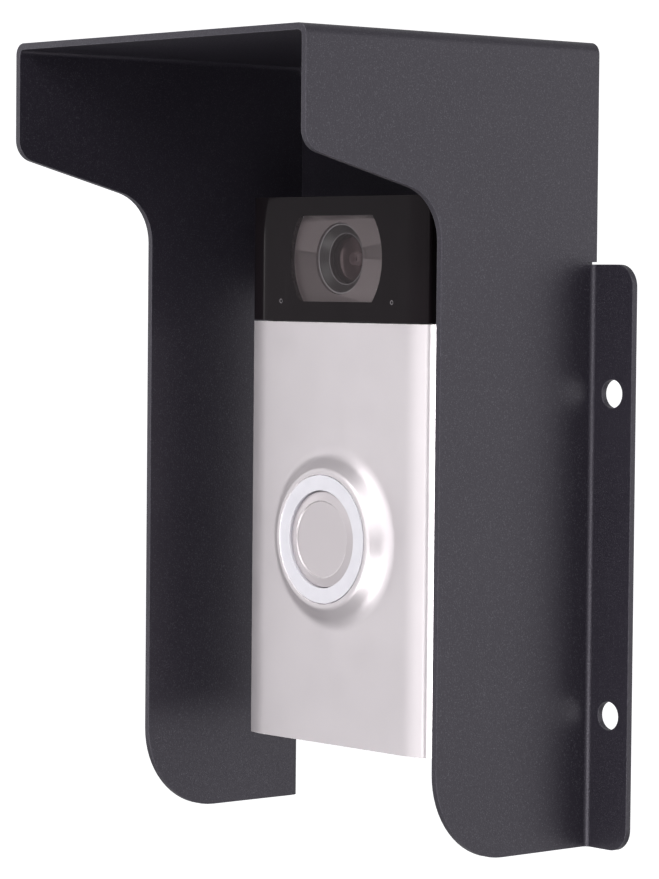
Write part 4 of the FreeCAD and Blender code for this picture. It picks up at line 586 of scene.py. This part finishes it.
def lathe(name, profile, x, z, body, steps=TURN_STEPS):
    """Turns a closed profile of (radius, y) in millimetres about an axis along Y."""
    made = bmesh.new()
    rings = []
    for step in range(steps):
        angle = 2.0 * math.pi * step / steps
        rings.append([
            made.verts.new(((x + radius * math.cos(angle)) * MM, y * MM, (z + radius * math.sin(angle)) * MM))
            for radius, y in profile
        ])
    for step, ring in enumerate(rings):
        after = rings[(step + 1) % steps]
        for n in range(len(profile)):
            m = (n + 1) % len(profile)
            made.faces.new((ring[n], ring[m], after[m], after[n]))
    bmesh.ops.recalc_face_normals(made, faces=made.faces)
    mesh = bpy.data.meshes.new(name)
    made.to_mesh(mesh)
    made.free()
    for face in mesh.polygons:
        face.use_smooth = True
    mesh.set_sharp_from_angle(angle=CREASE)
    piece = bpy.data.objects.new(name, mesh)
    bpy.context.scene.collection.objects.link(piece)
    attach(piece, body)
    return piece


core_paint = moulded("core_metal", (0.85, 0.80, 0.81), 0.3, grain=0.2, depth=0.003, worn=0.2)
rim_paint = moulded("turned_rim", (0.26, 0.24, 0.25), 0.3, grain=0.2, depth=0.003, worn=0.2)
dim_paint = moulded("port_lining", (0.16, 0.145, 0.155), 0.35, grain=0.2, depth=0.003, worn=0.2)
RIM_PAINTS = {"lens_core": core_paint, "bezel_rim": rim_paint}
RIMS = {
    "lens_core": ([(0.55, -26.5), (0.8, -27.0), (1.05, -27.2), (1.3, -27.1), (1.35, -26.5)], 0.0, LENS_Z),
    "lens_rim": ([(5.80, -29.98), (5.85, -30.10), (6.00, -30.10), (6.05, -30.03)], 0.0, LENS_Z),
    "bezel_rim": ([(7.80, -31.52), (7.88, -31.62), (8.05, -31.62), (8.12, -31.52)], 0.0, LENS_Z),
    "port_rim_left": (PORT_OUTLINE, -PORT_X, PORT_Z),
    "port_rim_right": (PORT_OUTLINE, PORT_X, PORT_Z),
}
for name, (outline, x, z) in RIMS.items():
    rim = lathe(name, outline, x, z, "doorbell")
    rim.data.materials.append(RIM_PAINTS.get(name, dim_paint))
    print(name, len(rim.data.polygons), "faces")

# %% [markdown]
# ## Lights for one piece
# The doorbell's right side stands close to the hood's dark panel, and would mirror only that. A small card
# tucked into the gap would brighten it, and another one under the roof would open up the hood's inside.
# Light linking stands in for the cards: each of these boxes lights one piece only, and the hood throws no
# shadow from the two on the faceplate. No real lamp can do that. The edge light shows in the sheen alone.

# %% Side light for the faceplate and fill for the hood
def light_only(light, piece, own_shadow=False):
    """Makes a light shine on one piece; with own_shadow nothing but that piece blocks it."""
    lit_alone = bpy.data.collections.new(f"lit_by_{light.name}")
    lit_alone.objects.link(bpy.data.objects[piece])
    light.light_linking.receiver_collection = lit_alone
    if own_shadow:
        light.light_linking.blocker_collection = lit_alone


light_only(soft_box("side_light", (0.70, 0.55, 0.0), (0.5, 0.7), 30.0), "faceplate_eased", True)
edge_light = soft_box("edge_light", (-0.05, -1.05, 0.0), (1.2, 1.3), 9.0)
edge_light.visible_diffuse = False
light_only(edge_light, "faceplate_eased", True)
light_only(soft_box("fill_light", (0.50, -0.66, -0.34), (0.7, 0.6), 3.6), "hood_eased")
